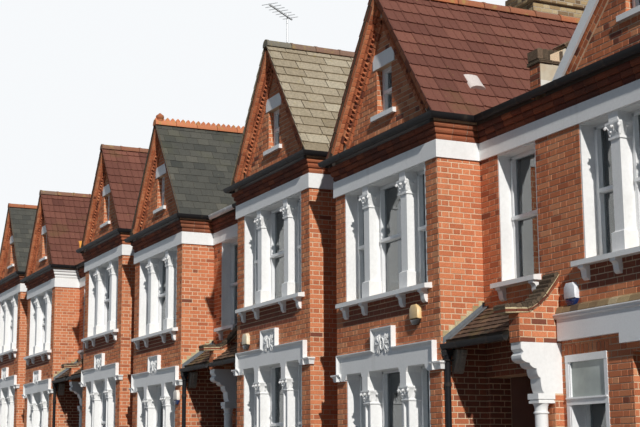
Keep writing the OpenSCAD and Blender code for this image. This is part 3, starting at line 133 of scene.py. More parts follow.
class House:
    """A house's own frame: X from its bay's middle to its porch, Y from its front, Z from its ground."""

    top, pitch, foot, verge = GABLE_RIDGE, GABLE_PITCH, GABLE_FOOT, VERGE + 0.03

    def __init__(self, name, mid, hand=1, level=0, roof="red", front=0.0):
        self.name, self.mid, self.hand, self.level = name, mid, hand, level
        self.roof, self.front = roof, front
        self.porch_party = PORCH_PARTY + (END_SHIFT if name == "b" else 0)

    def at(self, x, y, z):
        return street(self.mid + self.hand * x, self.front + y, self.level + z)

    def line(self, out):
        """The front in plan, a distance out from the brick, from one party wall to the other."""
        return [(-PLAIN_PARTY, OUT - out), (-BAY - out, OUT - out), (-BAY - out, -out),
                (BAY + out, -out), (BAY + out, OUT - out), (self.porch_party, OUT - out)]

    def porch_line(self, out):
        return [(BAY + 0.005, 0.02 - out), (self.porch_party - HALF_PARTY - 0.002, 0.02 - out)]

    def rear(self):
        """The ends and the depth of the rear wall between the party walls."""
        return -PLAIN_PARTY + HALF_PARTY, self.porch_party - HALF_PARTY, REAR

    def rear_line(self, out):
        left, right, back = self.rear()
        return [(right, back + out), (left, back + out)]

    def rear_openings(self):
        """Two windows above, a window and a door below, as (u0, v0, u1, v1)."""
        left, right, _ = self.rear()
        a, b = left + (right - left) * 0.27, left + (right - left) * 0.76
        windows = [(x - REAR_WINDOW_HALF, sill, x + REAR_WINDOW_HALF, sill + REAR_WINDOW_H)
                   for x, sill in ((a, FIRST_SILL), (b, FIRST_SILL), (a, GROUND_SILL))]
        return windows + [(b - REAR_DOOR_HALF, GROUND_FLOOR, b + REAR_DOOR_HALF, REAR_DOOR_HEAD)]


class EndHouse(House):
    """The plain house at the row's lower end, with no bay."""

    top, pitch, foot, verge = END_RIDGE, END_PITCH, END_FOOT, END_VERGE

    def line(self, out):
        return [(END_LEFT, -out), (END_RIGHT, -out)]

    def rear(self):
        return END_LEFT + HALF_PARTY, END_REAR_RIGHT, REAR - OUT


LEVELS = [0, 0.34, 0.68, 1.02]
HOUSES = [
    House("b", -1.525),
    House("c", -5.525, -1, LEVELS[1], "slab"),
    House("d", -11.505, 1, LEVELS[1], "slate"),
    House("e", -15.505, -1, LEVELS[2]),
    House("f", -21.485, 1, LEVELS[2]),
    House("g", -25.485, -1, LEVELS[3], "slate"),
]
END = EndHouse("a", 3.43, front=OUT)
ROW = HOUSES + [END]
LINES = [House("line", x, level=z) for x, z in zip(
    (1.58, -3.525, -8.515, -13.505, -18.495, -23.485, -28.475), [0] + sorted(2 * LEVELS[1:]))]
PORCHES = LINES[::2]


def turns(count):
    return [2 * math.pi * k / count for k in range(count)]


def arc(first, step, count):
    """Angles in radians from a first one, a step in degrees apart."""
    return [math.radians(first + step * k) for k in range(count)]


def corners(u0, v0, u1, v1):
    return [Vector((u0, v0)), Vector((u1, v0)), Vector((u1, v1)), Vector((u0, v1))]


def shade(middle, spread):
    """A tone near a middle one."""
    return min(1.0, max(0.0, random.gauss(middle, spread)))


class Part:
    """Faces gathered into one mesh, each with a tone between 0 and 1 for its material."""

    def __init__(self, name):
        self.name, self.points, self.faces, self.tones = name, [], [], []

    def add(self, points, faces, tone=0.5, flip=False):
        first = len(self.points)
        self.points.extend(points)
        for face in faces:
            self.faces.append([first + i for i in (reversed(face) if flip else face)])
            self.tones.append(tone)

    def box(self, at, low, high, tone=0.5, taper=0.0):
        """A block between two corners, its top drawn in by a taper."""
        (x0, y0, z0), (x1, y1, z1), t = low, high, taper
        points = [at(x0, y0, z0), at(x1, y0, z0), at(x1, y1, z0), at(x0, y1, z0), at(x0 + t, y0 + t, z1),
                  at(x1 - t, y0 + t, z1), at(x1 - t, y1 - t, z1), at(x0 + t, y1 - t, z1)]
        faces = [(0, 3, 2, 1), (4, 5, 6, 7), (0, 1, 5, 4), (1, 2, 6, 5), (2, 3, 7, 6), (3, 0, 4, 7)]
        self.add(points, faces, tone)

    def loft(self, rings, tone=0.5):
        """A skin through closed rings of points, capped at both ends."""
        count, last = len(rings[0]), (len(rings) - 1) * len(rings[0])
        faces = []
        for start in range(0, last, count):
            for i in range(count):
                j = (i + 1) % count
                faces.append((start + i, start + j, start + count + j, start + count + i))
        faces += [tuple(reversed(range(count))), tuple(range(last, last + count))]
        self.add([p for ring in rings for p in ring], faces, tone)

    def across(self, at, outline, x0, x1, tone=0.5):
        """An outline of (y, z) points, drawn out from one X to another."""
        self.loft([[at(x, y, z) for y, z in outline] for x in (x0, x1)], tone)

    def tube(self, path, radii, sides=6, tone=0.5):
        """A round bar along a path, with a radius at each point."""
        rings = []
        for k, (p, r) in enumerate(zip(path, radii)):
            along = (path[min(k + 1, len(path) - 1)] - path[max(k - 1, 0)]).normalized()
            across = along.orthogonal() if k == 0 else across - along * across.dot(along)
            across.normalize()
            third = along.cross(across)
            rings.append([p + (across * math.cos(a) + third * math.sin(a)) * r for a in turns(sides)])
        self.loft(rings, tone)

    def lathe(self, at, x, y, profile, sides=24, tone=0.5):
        """A turned form about an upright axis, from (radius, z) points."""
        rings = [[at(x + r * math.cos(a), y + r * math.sin(a), z) for a in turns(sides)] for r, z in profile]
        self.loft(rings, tone)

    def done(self, material, slot, replaces=(), smooth=None, closed=False):
        """The mesh as an object, smooth up to an angle, its normals turned outward where it is closed."""
        mesh = bpy.data.meshes.new(self.name)
        mesh.from_pydata([tuple(p) for p in self.points], [], self.faces)
        mesh.attributes.new("tone", "FLOAT", "FACE").data.foreach_set("value", self.tones)
        mesh.materials.append(material)
        mesh.validate()
        if closed:
            loose = bmesh.new()
            loose.from_mesh(mesh)
            bmesh.ops.recalc_face_normals(loose, faces=loose.faces)
            loose.to_mesh(mesh)
            loose.free()
        if smooth:
            mesh.polygons.foreach_set("use_smooth", [True] * len(mesh.polygons))
            mesh.set_sharp_from_angle(angle=math.radians(smooth))
        thing = bpy.data.objects.new(self.name, mesh)
        bpy.context.scene.collection.objects.link(thing)
        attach(thing, "root")
        if replaces:
            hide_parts(*replaces)


def clipped(polygon, normal, limit):
    """The part of a flat polygon where normal . p is at most limit."""
    out = []
    for k, p in enumerate(polygon):
        q = polygon[k - 1]
        dp, dq = normal.dot(p) - limit, normal.dot(q) - limit
        if (dp <= 0) != (dq <= 0):
            out.append(q.lerp(p, dq / (dq - dp)))
        if dp <= 0:
            out.append(p)
    return out


# Materials
GLOSSY, MATT, MATT_FROM = 0.5, 0.12, 0.65


def rgba(colour):
    """Four channels from a colour or a grey level; a socket stays as it is."""
    if hasattr(colour, "is_output"):
        return colour
    return (colour, colour, colour, 1) if isinstance(colour, (int, float)) else (*colour, 1)


class Shading:
    """The nodes of a material or of the world."""

    def __init__(self, owner):
        owner.use_nodes = True
        self.nodes, self.links = owner.node_tree.nodes, owner.node_tree.links

    def feed(self, node, sockets):
        """Links or sets sockets, by name or number."""
        for socket, value in sockets.items():
            if hasattr(value, "is_output"):
                self.links.new(value, node.inputs[socket])
            else:
                node.inputs[socket].default_value = value
        return node

    def add(self, kind, sockets=None, **settings):
        node = self.nodes.new("ShaderNode" + kind)
        for name, value in settings.items():
            setattr(node, name, value)
        return self.feed(node, sockets or {})

    def mix(self, a, b, factor, kind="MIX"):
        sockets = {0: factor, 6: rgba(a), 7: rgba(b)}
        return self.add("Mix", sockets, data_type="RGBA", blend_type=kind).outputs[2]

    def ramp(self, source, *stops):
        node = self.add("ValToRGB", {0: source})
        elements = node.color_ramp.elements
        while len(elements) < len(stops):
            elements.new(0.5)
        for element, (place, colour) in zip(elements, stops):
            element.position = place
            element.color = rgba(colour)
        return node.outputs[0]

    def noise(self, scale, detail, stretch=(1, 1, 1)):
        place = self.add("TexCoord").outputs["Object"]
        moved = self.add("Mapping", {0: place, "Scale": stretch}).outputs[0]
        sockets = {"Vector": moved, "Scale": scale, "Detail": detail, "Roughness": 0.55}
        return self.add("TexNoise", sockets).outputs[0]

    def bump(self, height, strength, distance):
        return self.add("Bump", {"Height": height, "Strength": strength, "Distance": distance}).outputs[0]

    def stained(self, colour, scale, stain, low, high, most, stretch=(1, 1, 1)):
        """Stains of one colour where a broad noise rises from low to high."""
        return self.mix(colour, stain, self.ramp(self.noise(scale, 5, stretch), (low, 0.0), (high, most)))

    def by_facing(self, colour, underside):
        """Another colour on the undersides of slopes that fall to the row's ends."""
        split = self.add("SeparateXYZ", {0: self.add("NewGeometry").outputs["Normal"]})
        across = self.add("Math", {0: split.outputs["X"]}, operation="ABSOLUTE")
        below = self.mix(colour, underside, self.ramp(across.outputs[0], (0.2, 0.0), (0.3, 1.0)))
        return self.mix(below, colour, self.ramp(split.outputs["Z"], (0.1, 0.0), (0.2, 1.0)))


def material(name, colours, mottle=(30, 0.75, 1.1), rough=(0.75, 0.9), bump=(60, 0.3, 0.004), stains=(),
             places=None, tone=True, metallic=0.0, edge=None):
    """A surface whose colour runs over colours by each face's tone, mottled finely and stained broadly."""
    made = bpy.data.materials.new(name)
    s = Shading(made)
    source = s.add("Attribute", attribute_name="tone").outputs["Fac"] if tone else s.noise(1.7, 5)
    colour = s.ramp(source, *zip(places or [k / (len(colours) - 1) for k in range(len(colours))], colours))
    if edge:
        colour = s.by_facing(colour, edge)
    grain = s.noise(mottle[0], 6)
    colour = s.mix(colour, s.ramp(grain, (0.3, mottle[1]), (0.7, mottle[2])), 1.0, "MULTIPLY")
    for stain in stains:
        colour = s.stained(colour, *stain)
    s.feed(s.nodes["Principled BSDF"], {
        "Base Color": colour, "Metallic": metallic,
        "Specular IOR Level": GLOSSY if rough[1] < MATT_FROM else MATT,
        "Roughness": s.ramp(grain, (0.3, rough[0]), (0.7, rough[1])),
        "Normal": s.bump(s.noise(bump[0], 6), *bump[1:])})
    return made


def mixed(*rest, **more):
    """A material whose two colours are mixed by a broad noise in place of the tones."""
    return material(*rest, places=(0.3, 0.7), tone=False, **more)


def glass_material():
    """Thin old glass: clear behind a reflection that grows at low angles, with a slight ripple."""
    made = bpy.data.materials.new("WindowGlass")
    s = Shading(made)
    s.nodes.remove(s.nodes["Principled BSDF"])
    through = s.add("BsdfTransparent", {"Color": (0.66, 0.72, 0.74, 1)})
    ripple = s.bump(s.noise(1.6, 2), 0.06, 0.01)
    mirror = s.add("BsdfGlossy", {"Color": (0.92, 0.96, 0.98, 1), "Roughness": 0.02, "Normal": ripple})
    edge = s.add("Fresnel", {"IOR": 2.5})
    both = s.add("MixShader", {0: edge.outputs[0], 1: through.outputs[0], 2: mirror.outputs[0]})
    s.feed(s.nodes["Material Output"], {"Surface": both.outputs[0]})
    return made


DOWN = (1, 1, 0.12)
MOSS, LICHEN, SOOT = (0.13, 0.12, 0.035), (0.42, 0.33, 0.10), (0.10, 0.055, 0.04)

# Bricks and mortars
red_brick = material(
    "RedBrick", [(0.22, 0.075, 0.048), (0.48, 0.150, 0.072), (0.65, 0.215, 0.100), (0.74, 0.280, 0.135),
                 (0.79, 0.35, 0.18)],
    (90, 0.72, 1.12), places=(0, 0.2, 0.5, 0.8, 1),
    stains=[(0.6, SOOT, 0.54, 0.78, 0.35), (2.4, SOOT, 0.60, 0.78, 0.30, DOWN)])
dark_brick = material(
    "CorniceBrick", [(0.15, 0.045, 0.03), (0.36, 0.110, 0.055), (0.56, 0.20, 0.10)],
    (90, 0.7, 1.1), stains=[(0.9, (0.06, 0.035, 0.028), 0.42, 0.66, 0.6)])
stock_brick = material(
    "StockBrick", [(0.15, 0.10, 0.065), (0.36, 0.24, 0.13), (0.50, 0.37, 0.20), (0.62, 0.50, 0.32)],
    (90, 0.7, 1.12), places=(0, 0.3, 0.6, 1),
    stains=[(0.5, (0.10, 0.08, 0.06), 0.5, 0.75, 0.4), (2.0, SOOT, 0.58, 0.76, 0.35, DOWN)])
mortar = mixed(
    "Mortar", [(0.70, 0.51, 0.34), (0.82, 0.65, 0.46)], (120, 0.75, 1.1),
    stains=[(1.2, (0.26, 0.18, 0.13), 0.5, 0.72, 0.5)])
yellow_mortar = material(
    "YellowMortar", [(0.46, 0.36, 0.20), (0.72, 0.60, 0.38)], (70, 0.65, 1.1), bump=(80, 0.5, 0.006),
    stains=[(3.0, (0.10, 0.09, 0.05), 0.5, 0.7, 0.6)])
grey_mortar = mixed(
    "GreyMortar", [(0.40, 0.34, 0.27), (0.55, 0.48, 0.38)], (120, 0.75, 1.1),
    stains=[(1.2, (0.20, 0.17, 0.14), 0.5, 0.72, 0.5)])
cream_render = material(
    "CreamRender", [(0.58, 0.50, 0.37), (0.76, 0.74, 0.68)], (20, 0.9, 1.03), (0.8, 0.9),
    stains=[(4.0, (0.48, 0.32, 0.18), 0.50, 0.72, 0.45)])
plaster = mixed("Plaster", [(0.24, 0.13, 0.10), (0.32, 0.18, 0.14)], (20, 0.95, 1.03))

# Stone, paint and wood
white_stone = mixed(
    "PaintedStone", [(0.85, 0.85, 0.84), (0.90, 0.90, 0.89)], (25, 0.94, 1.02), (0.42, 0.62),
    (110, 0.16, 0.002),
    stains=[(2.2, (0.60, 0.59, 0.55), 0.60, 0.80, 0.30), (5, (0.50, 0.49, 0.45), 0.60, 0.78, 0.28, DOWN)])
grey_stone = mixed(
    "GreyStone", [(0.36, 0.33, 0.29), (0.48, 0.45, 0.40)], (45, 0.75, 1.12), (0.78, 0.92), (90, 0.45, 0.005),
    stains=[(1.8, (0.20, 0.18, 0.12), 0.52, 0.72, 0.45)])
joinery = mixed(
    "PaintedJoinery", [(0.82, 0.83, 0.84), (0.88, 0.885, 0.89)], (40, 0.94, 1.02), (0.30, 0.45),
    (160, 0.08, 0.001), stains=[(3.0, (0.56, 0.57, 0.55), 0.62, 0.8, 0.25)])
door_paint = material(
    "DoorPaint", [(0.018, 0.040, 0.034), (0.16, 0.018, 0.016), (0.020, 0.030, 0.075), (0.030, 0.030, 0.032),
                  (0.10, 0.13, 0.10)],
    (60, 0.9, 1.1), (0.22, 0.34), (200, 0.06, 0.001), stains=[(4, (0.07, 0.07, 0.06), 0.64, 0.8, 0.3)])
boards = mixed(
    "FloorBoards", [(0.30, 0.20, 0.12), (0.40, 0.28, 0.17)], (30, 0.8, 1.1), (0.5, 0.7),
    stains=[(9, (0.20, 0.13, 0.08), 0.5, 0.7, 0.4, (0.08, 1, 1))])

# Tiles, slates and clay
red_tile = material(
    "RedTile", [(0.115, 0.046, 0.036), (0.185, 0.076, 0.056), (0.27, 0.112, 0.080)], (70, 0.74, 1.18),
    (0.75, 0.92), (220, 0.4, 0.004), stains=[(0.9, MOSS, 0.60, 0.78, 0.45), (14, LICHEN, 0.66, 0.74, 0.35)])
slab_tile = material(
    "StoneSlab", [(0.29, 0.235, 0.16), (0.41, 0.345, 0.25), (0.50, 0.44, 0.33)], (26, 0.72, 1.14),
    (0.8, 0.95), (90, 0.5, 0.006), stains=[(1.1, MOSS, 0.60, 0.80, 0.35), (9, LICHEN, 0.62, 0.72, 0.30)])
slate_tile = material(
    "Slate", [(0.055, 0.057, 0.052), (0.086, 0.085, 0.074), (0.125, 0.120, 0.100)], (40, 0.72, 1.15),
    (0.5, 0.75), (120, 0.35, 0.003),
    stains=[(0.8, (0.12, 0.12, 0.06), 0.52, 0.75, 0.45), (16, (0.30, 0.29, 0.20), 0.66, 0.74, 0.30)])
porch_tile = material(
    "PorchTile", [(0.055, 0.042, 0.032), (0.135, 0.085, 0.060), (0.26, 0.16, 0.10)], (60, 0.7, 1.2),
    (0.75, 0.92), (160, 0.45, 0.004), stains=[(2.2, (0.24, 0.19, 0.06), 0.55, 0.72, 0.5)])
mossy_tile = material(
    "MossyTile", [(0.060, 0.046, 0.034), (0.150, 0.108, 0.074), (0.34, 0.22, 0.15)], (45, 0.6, 1.25),
    (0.85, 0.95), (70, 0.7, 0.010), stains=[(5, (0.23, 0.18, 0.085), 0.56, 0.72, 0.4)])
roof_slab = mixed(
    "RoofSlab", [(0.070, 0.052, 0.042), (0.110, 0.082, 0.066)], (60, 0.75, 1.1), (0.75, 0.9),
    edge=(0.62, 0.40, 0.25), stains=[(6, (0.14, 0.07, 0.045), 0.58, 0.74, 0.5)])
ridge_clay = material(
    "RidgeClay", [(0.22, 0.20, 0.16), (0.30, 0.13, 0.08), (0.50, 0.17, 0.08), (0.68, 0.26, 0.13)],
    (60, 0.75, 1.12), (0.75, 0.9), (140, 0.4, 0.004), [(7, LICHEN, 0.56, 0.68, 0.55)], (0, 0.35, 0.7, 1))
pot_clay = mixed(
    "PotClay", [(0.50, 0.18, 0.09), (0.62, 0.27, 0.14)], (50, 0.8, 1.1),
    stains=[(2.0, (0.12, 0.09, 0.07), 0.5, 0.75, 0.5)])
vent_clay = material("VentTile", [(0.72, 0.64, 0.60), (0.80, 0.36, 0.08)], (50, 0.85, 1.08), (0.7, 0.85))

# Metals, plastic and glass
gutter_black = material(
    "BlackGutter", [(0.012, 0.012, 0.014), (0.050, 0.040, 0.034)], (60, 0.8, 1.2), (0.45, 0.66),
    (120, 0.15, 0.002), stains=[(2.5, (0.08, 0.07, 0.05), 0.58, 0.78, 0.4)])
lead = material(
    "Lead", [(0.12, 0.135, 0.15), (0.22, 0.24, 0.26)], (18, 0.8, 1.12), (0.5, 0.7), (40, 0.3, 0.006),
    stains=[(3.0, (0.15, 0.15, 0.13), 0.55, 0.75, 0.4)], metallic=0.25)
SMOOTH = (200, 0.05, 0.001)
aerial_metal = mixed(
    "AerialMetal", [(0.48, 0.49, 0.50), (0.62, 0.63, 0.64)], (40, 0.85, 1.05), (0.35, 0.5), SMOOTH,
    metallic=0.8)
brass = mixed(
    "Brass", [(0.62, 0.44, 0.16), (0.74, 0.55, 0.24)], (60, 0.85, 1.08), (0.22, 0.35), SMOOTH, metallic=0.9)
alarm_shell = material(
    "AlarmShell", [(0.72, 0.74, 0.78), (0.78, 0.62, 0.36), (0.82, 0.50, 0.16)], (30, 0.9, 1.05), (0.35, 0.5),
    SMOOTH, stains=[(8, (0.50, 0.46, 0.36), 0.6, 0.8, 0.35)])
alarm_lens = material(
    "AlarmLens", [(0.012, 0.030, 0.12), (0.022, 0.018, 0.016)], (40, 0.85, 1.1), (0.12, 0.25), SMOOTH)
frosted = mixed(
    "FrostedGlass", [(0.25, 0.29, 0.27), (0.50, 0.55, 0.52)], (0.9, 0.75, 1.1), (0.12, 0.25),
    (60, 0.05, 0.001))
glass = glass_material()


# Brickwork
DARK_SHARE, DARKER = 0.045, 0.32
LEAST_LENGTH, LEAST_PIECE, LEAST_HEIGHT, ATTIC_REVEAL = 0.02, 0.015, 0.012, 0.09
ENTRANCE_RIM, SIDE_FOOT, STACK_FOOT, OVERSAIL = 0.17, 6.2, 7.4, 0.225


class Wall:
    """A flat face: a point is u along it, v up it and out from it."""

    def __init__(self, origin, u, n, v=(0, 0, 1)):
        self.origin, self.u, self.n, self.v = origin, Vector(u), Vector(n), Vector(v)
        self.flip = self.u.cross(self.v).dot(self.n) < 0

    def at(self, u, v, out=0.0):
        return self.origin + self.u * u + self.v * v + self.n * out


def front_wall(h, y=0.0, facing=-1):
    return Wall(h.at(0, y, 0), (h.hand, 0, 0), (0, facing, 0))


def side_wall(h, x, facing):
    """A wall that runs back from the street, facing the house's +X or -X."""
    return Wall(h.at(x, 0, 0), (0, 1, 0), (facing * h.hand, 0, 0))


def party_side(x, facing):
    """The side of a party wall at a street X, measured up from the lowest ground."""
    return Wall(street(x, 0, 0), (0, 1, 0), (facing, 0, 0))


def brick_tone(spread=0.22, middle=0.52):
    """A brick's tone; a few bricks are burnt darker."""
    tone = random.gauss(middle, spread)
    if random.random() < DARK_SHARE:
        tone -= DARKER
    return min(1.0, max(0.0, tone))


def brick(part, wall, outline, tone, lift=0.005, edge=0.003):
    """A brick's face: the outline on the wall, a little smaller where it stands out."""
    us, vs = zip(*outline)
    mid_u, mid_v = (min(us) + max(us)) / 2, (min(vs) + max(vs)) / 2
    shrink_u = 1 - 2 * edge / max(max(us) - min(us), 4 * edge)
    shrink_v = 1 - 2 * edge / max(max(vs) - min(vs), 4 * edge)
    count = len(outline)
    points = [wall.at(u, v, -0.002) for u, v in outline]
    for u, v in outline:
        points.append(wall.at(mid_u + (u - mid_u) * shrink_u, mid_v + (v - mid_v) * shrink_v, lift))
    faces = [tuple(range(count, 2 * count))]
    faces += [(k, (k + 1) % count, count + (k + 1) % count, count + k) for k in range(count)]
    part.add(points, faces, tone, wall.flip)


def without(rect, holes):
    """The rectangles left of one after cutting holes from it."""
    left = [rect]
    for u0, v0, u1, v1 in holes:
        rest = []
        for a, c, b, d in left:
            if u0 >= b or u1 <= a or v0 >= d or v1 <= c:
                rest.append((a, c, b, d))
                continue
            low, high = max(a, u0), min(b, u1)
            pieces = [(a, c, u0, d), (u1, c, b, d), (low, c, high, v0), (low, v1, high, d)]
            rest += [piece for piece, cut in zip(pieces, (u0 > a, u1 < b, v0 > c, v1 < d)) if cut]
        left = rest
    return left


def cut_brick(part, wall, rect, tone, lift=0.005, slopes=()):
    """One brick or part of one, cut along slopes."""
    outline = corners(*rect)
    for normal, limit in slopes:
        outline = clipped(outline, normal, limit)
        if len(outline) < 3:
            return
    brick(part, wall, outline, tone, lift)


def lay(part, wall, u0, u1, v0, v1, holes=(), slopes=(), start=0, reach=None, **tones):
    """Flemish bond over a rectangle of a wall, round its holes and under its slopes."""
    for k in range(math.floor(v0 / COURSE), math.ceil(v1 / COURSE)):
        low, high = max(k * COURSE, v0), min(k * COURSE + COURSE - JOINT, v1)
        if high - low < LEAST_PIECE:
            continue
        near = [h for h in holes if h[1] < high and h[3] > low]
        first = reach(high) if reach else u0
        u = u0 - ((LONG + SHORT + 2 * JOINT) / 2 if (k + start) % 2 else 0)
        size, other = LONG, SHORT
        while u < u1:
            a, b = max(u, first), min(u + size, u1)
            u += size + JOINT
            size, other = other, size
            if b - a < LEAST_LENGTH:
                continue
            for r in without((a, low, b, high), near):
                if r[2] - r[0] > LEAST_PIECE and r[3] - r[1] > LEAST_HEIGHT:
                    cut_brick(part, wall, r, brick_tone(**tones), slopes=slopes)


def soldiers(part, wall, u0, v0, u1, v1, **tones):
    """Bricks on end, side by side."""
    count = round((u1 - u0) / COURSE)
    step = (u1 - u0) / count
    for k in range(count):
        rect = (u0 + k * step + JOINT / 2, v0, u0 + (k + 1) * step - JOINT / 2, v1)
        cut_brick(part, wall, rect, brick_tone(**tones))


def gable_slopes(ridge, pitch, drop):
    """Half planes under both slopes of a gable, a distance down square to the slope."""
    limit = ridge * math.cos(pitch) - drop
    return [(Vector((hand * math.sin(pitch), math.cos(pitch))), limit) for hand in (1, -1)]


def roof_slopes(lift):
    """Half planes under the main roof, lifted, on a side wall whose u is the street Y."""
    ridge = MAIN_RIDGE + lift - MAIN_DROP
    lean = Vector((math.sin(MAIN_PITCH), math.cos(MAIN_PITCH)))
    return [(Vector((hand * lean.x, lean.y)), ridge * lean.y + hand * MAIN_RIDGE_Y * lean.x)
            for hand in (1, -1)]


def verge_walls(h, y):
    """The two slopes of a gable as walls: u down the slope from the ridge, v square below it."""
    for hand in (h.hand, -h.hand):
        down = (hand * math.cos(h.pitch), 0, -math.sin(h.pitch))
        below = (-hand * math.sin(h.pitch), 0, -math.cos(h.pitch))
        yield Wall(h.at(0, y, h.top), down, (0, -1, 0), below)


def verge(part, h, foot, y, rows):
    """Raked brick rows under a verge, each a course deep at a distance below the slope."""
    length = foot / math.cos(h.pitch)
    for v, lift, size in rows:
        for wall in verge_walls(h, y):
            u = v * math.tan(h.pitch) + JOINT
            while u < length - 0.03:
                end = min(u + size, length - v / math.tan(h.pitch))
                if end - u <= LEAST_LENGTH:
                    break
                rect = (u, v + JOINT / 2, end, v + COURSE - JOINT / 2)
                cut_brick(part, wall, rect, brick_tone(middle=0.45), lift)
                u = end + JOINT


def dog_tooth(part, h, foot, y, v0):
    """Bricks laid cornerwise under the band, each a small point."""
    length, v1, point = foot / math.cos(h.pitch), v0 + 0.066, 0.040
    for wall in verge_walls(h, y):
        u = v1 * math.tan(h.pitch) + 0.02
        while u < length - v1 / math.tan(h.pitch) - COURSE:
            end, middle = u + COURSE, u + COURSE / 2
            points = [wall.at(u, v0), wall.at(end, v0), wall.at(end, v1), wall.at(u, v1),
                      wall.at(middle, v0, point), wall.at(middle, v1, point)]
            faces = [(0, 4, 5, 3), (4, 1, 2, 5), (0, 1, 4), (2, 3, 5)]
            part.add(points, faces, brick_tone(middle=0.42), wall.flip)
            u = end


def soffit_headers(part, h):
    """Brick ends under a gable roof's overhang, from the verge back to the gable wall."""
    length, depth = (BAY + 0.02) / math.cos(GABLE_PITCH), VERGE + GABLE_BACK - 0.006
    for slope in verge_walls(h, -VERGE + 0.004):
        wall = Wall(slope.origin + slope.v * ROOF_T, slope.u, slope.v, (0, 1, 0))
        u = ROOF_T * math.tan(GABLE_PITCH) + JOINT
        while u < length - COURSE:
            cut_brick(part, wall, (u, 0, u + COURSE - JOINT, depth), brick_tone(middle=0.6))
            u += COURSE


def triple_window(z0=FIRST_SILL, z1=FRIEZE):
    return (-WINDOW, z0, WINDOW, z1)


def reveals(part, h, left, right, head, y, **tones):
    """The sides of an entrance."""
    for x, facing in ((left, 1), (right, -1)):
        lay(part, side_wall(h, x, facing), y, y + REVEAL, GROUND_FLOOR, head, start=1, **tones)


def house_front(part, h):
    """The bay's face, its returns, the walls beside it and the gable of one bay house."""
    low, band = -h.level, ROOF_T + VERGE_BAND
    windows = [triple_window(), triple_window(GROUND_SILL, GROUND_HEAD)]
    lay(part, front_wall(h), -BAY, BAY, low, FRIEZE, windows, middle=0.68)
    lay(part, front_wall(h, GABLE_BACK), -BAY, BAY, WALL_TOP, GABLE_RIDGE,
        [(-ATTIC_W, ATTIC_Z, ATTIC_W, ATTIC_TOP)], gable_slopes(GABLE_RIDGE, GABLE_PITCH, band + COURSE),
        middle=0.66)
    verge(part, h, BAY, -VERGE, [(0.022, 0.005, LONG)])
    verge(part, h, BAY, GABLE_BACK, [(ROOF_T, 0.075, SHORT), (band, 0.034, SHORT)])
    dog_tooth(part, h, BAY, GABLE_BACK - 0.020, ROOF_T + COURSE + 0.004)
    for end in (-1, 1):
        lay(part, side_wall(h, end * BAY, end), 0, OUT, low, FRIEZE, start=1, spread=0.13, middle=0.55)
        lay(part, side_wall(h, end * ATTIC_W, -end), GABLE_BACK, GABLE_BACK + ATTIC_REVEAL,
            ATTIC_Z, ATTIC_TOP, start=1)
    lay(part, front_wall(h, OUT), -PLAIN_PARTY, -BAY, low, FRIEZE)
    right = h.porch_party - ENTRANCE_RIM
    lay(part, front_wall(h, OUT), BAY, h.porch_party, low, FRIEZE,
        [(SIDE_WINDOW_LEFT, SIDE_SILL, SIDE_WINDOW_RIGHT, FRIEZE),
         (ENTRANCE_LEFT, GROUND_FLOOR, right, ENTRANCE_HEAD)])
    # Painted shade: the entrance reveals' bricks take near the darkest tones, for the dark inside the porch.
    reveals(part, h, ENTRANCE_LEFT, right, ENTRANCE_HEAD, OUT, spread=0.06, middle=0.06)
    soffit_headers(part, h)


def end_front(part):
    """The flat front of the end house, with its gable behind the bargeboards."""
    gable_half = 1.55
    window = (SHOP_LEFT, GROUND_SILL, SHOP_RIGHT, END_HEAD)
    entrance = (END_DOOR_LEFT, GROUND_FLOOR, END_DOOR_RIGHT, END_HEAD)
    lintel = (SHOP_LEFT - 0.06, 3.005, SHOP_RIGHT + 0.06, 3.120)
    lay(part, front_wall(END), END_LEFT, END_RIGHT, 0, FRIEZE, [triple_window(), window, entrance, lintel],
        middle=0.62, spread=0.18)
    soldiers(part, front_wall(END), *lintel, middle=0.62)
    lay(part, front_wall(END), -gable_half, gable_half, WALL_TOP, END_RIDGE,
        [(-ATTIC_W, END_ATTIC_Z, ATTIC_W, END_ATTIC_TOP)],
        gable_slopes(END_RIDGE, END_PITCH, ROOF_T + VERGE_BAND), middle=0.45)
    verge(part, END, gable_half, -0.02, [(ROOF_T, 0.005, SHORT), (ROOF_T + COURSE, 0.005, SHORT)])
    for end in (-1, 1):
        lay(part, side_wall(END, end * ATTIC_W, -end), 0, ATTIC_REVEAL, END_ATTIC_Z, END_ATTIC_TOP, start=1)
    reveals(part, END, END_DOOR_LEFT, END_DOOR_RIGHT, END_HEAD, 0, middle=0.45)


DARK_FROM, DARK_LEAN = 2.80, 0.42
SILL_SHADE = dict(left=-1.34, right=1.12, low=3.72, high=4.06)


def under_porch(h, x, y, z):
    """The part of a bay's return and the wall beside it that a porch roof keeps in the dark."""
    lit = 0.02 + max(0.0, (DARK_FROM - z) * DARK_LEAN)
    return x > BAY - 0.02 and y > lit and z < PORCH_EAVES - 0.1 + y * PORCH_SLOPE


def under_sill(h, x, y, z):
    """The strip below a first-floor sill where its cast shadow is painted, drawn the same way along the
    street.
    """
    inside = SILL_SHADE["left"] < x * h.hand < SILL_SHADE["right"] and abs(y) < 0.03
    return inside and SILL_SHADE["low"] < z < SILL_SHADE["high"]


def paint_shade(part, first, h, inside, share):
    """Darkens, as painted shade, the bricks from a first face on that lie inside a region of the house's own
    frame.
    """
    zero = h.at(0, 0, 0)
    for k in range(first, len(part.faces)):
        p = part.points[part.faces[k][0]] - zero
        if inside(h, h.hand * p.x, p.y, p.z):
            part.tones[k] *= share


fronts = Part("front_bricks")
# Painted shade: the bricks in the porch roofs' shadow and in the first-floor sills' cast shadows get darker
# tones.
for h in HOUSES:
    first = len(fronts.faces)
    house_front(fronts, h)
    paint_shade(fronts, first, h, under_porch, 0.12)
    paint_shade(fronts, first, h, under_sill, 0.05)
first = len(fronts.faces)
end_front(fronts)
paint_shade(fronts, first, END, under_sill, 0.05)
fronts.done(red_brick, "brick")

# The porch walls' tops sweep up from a level foot towards the house
SWEEP_Y, SWEEP_POWER, SWEEP_RISE = 0.19, 1.6, 0.44


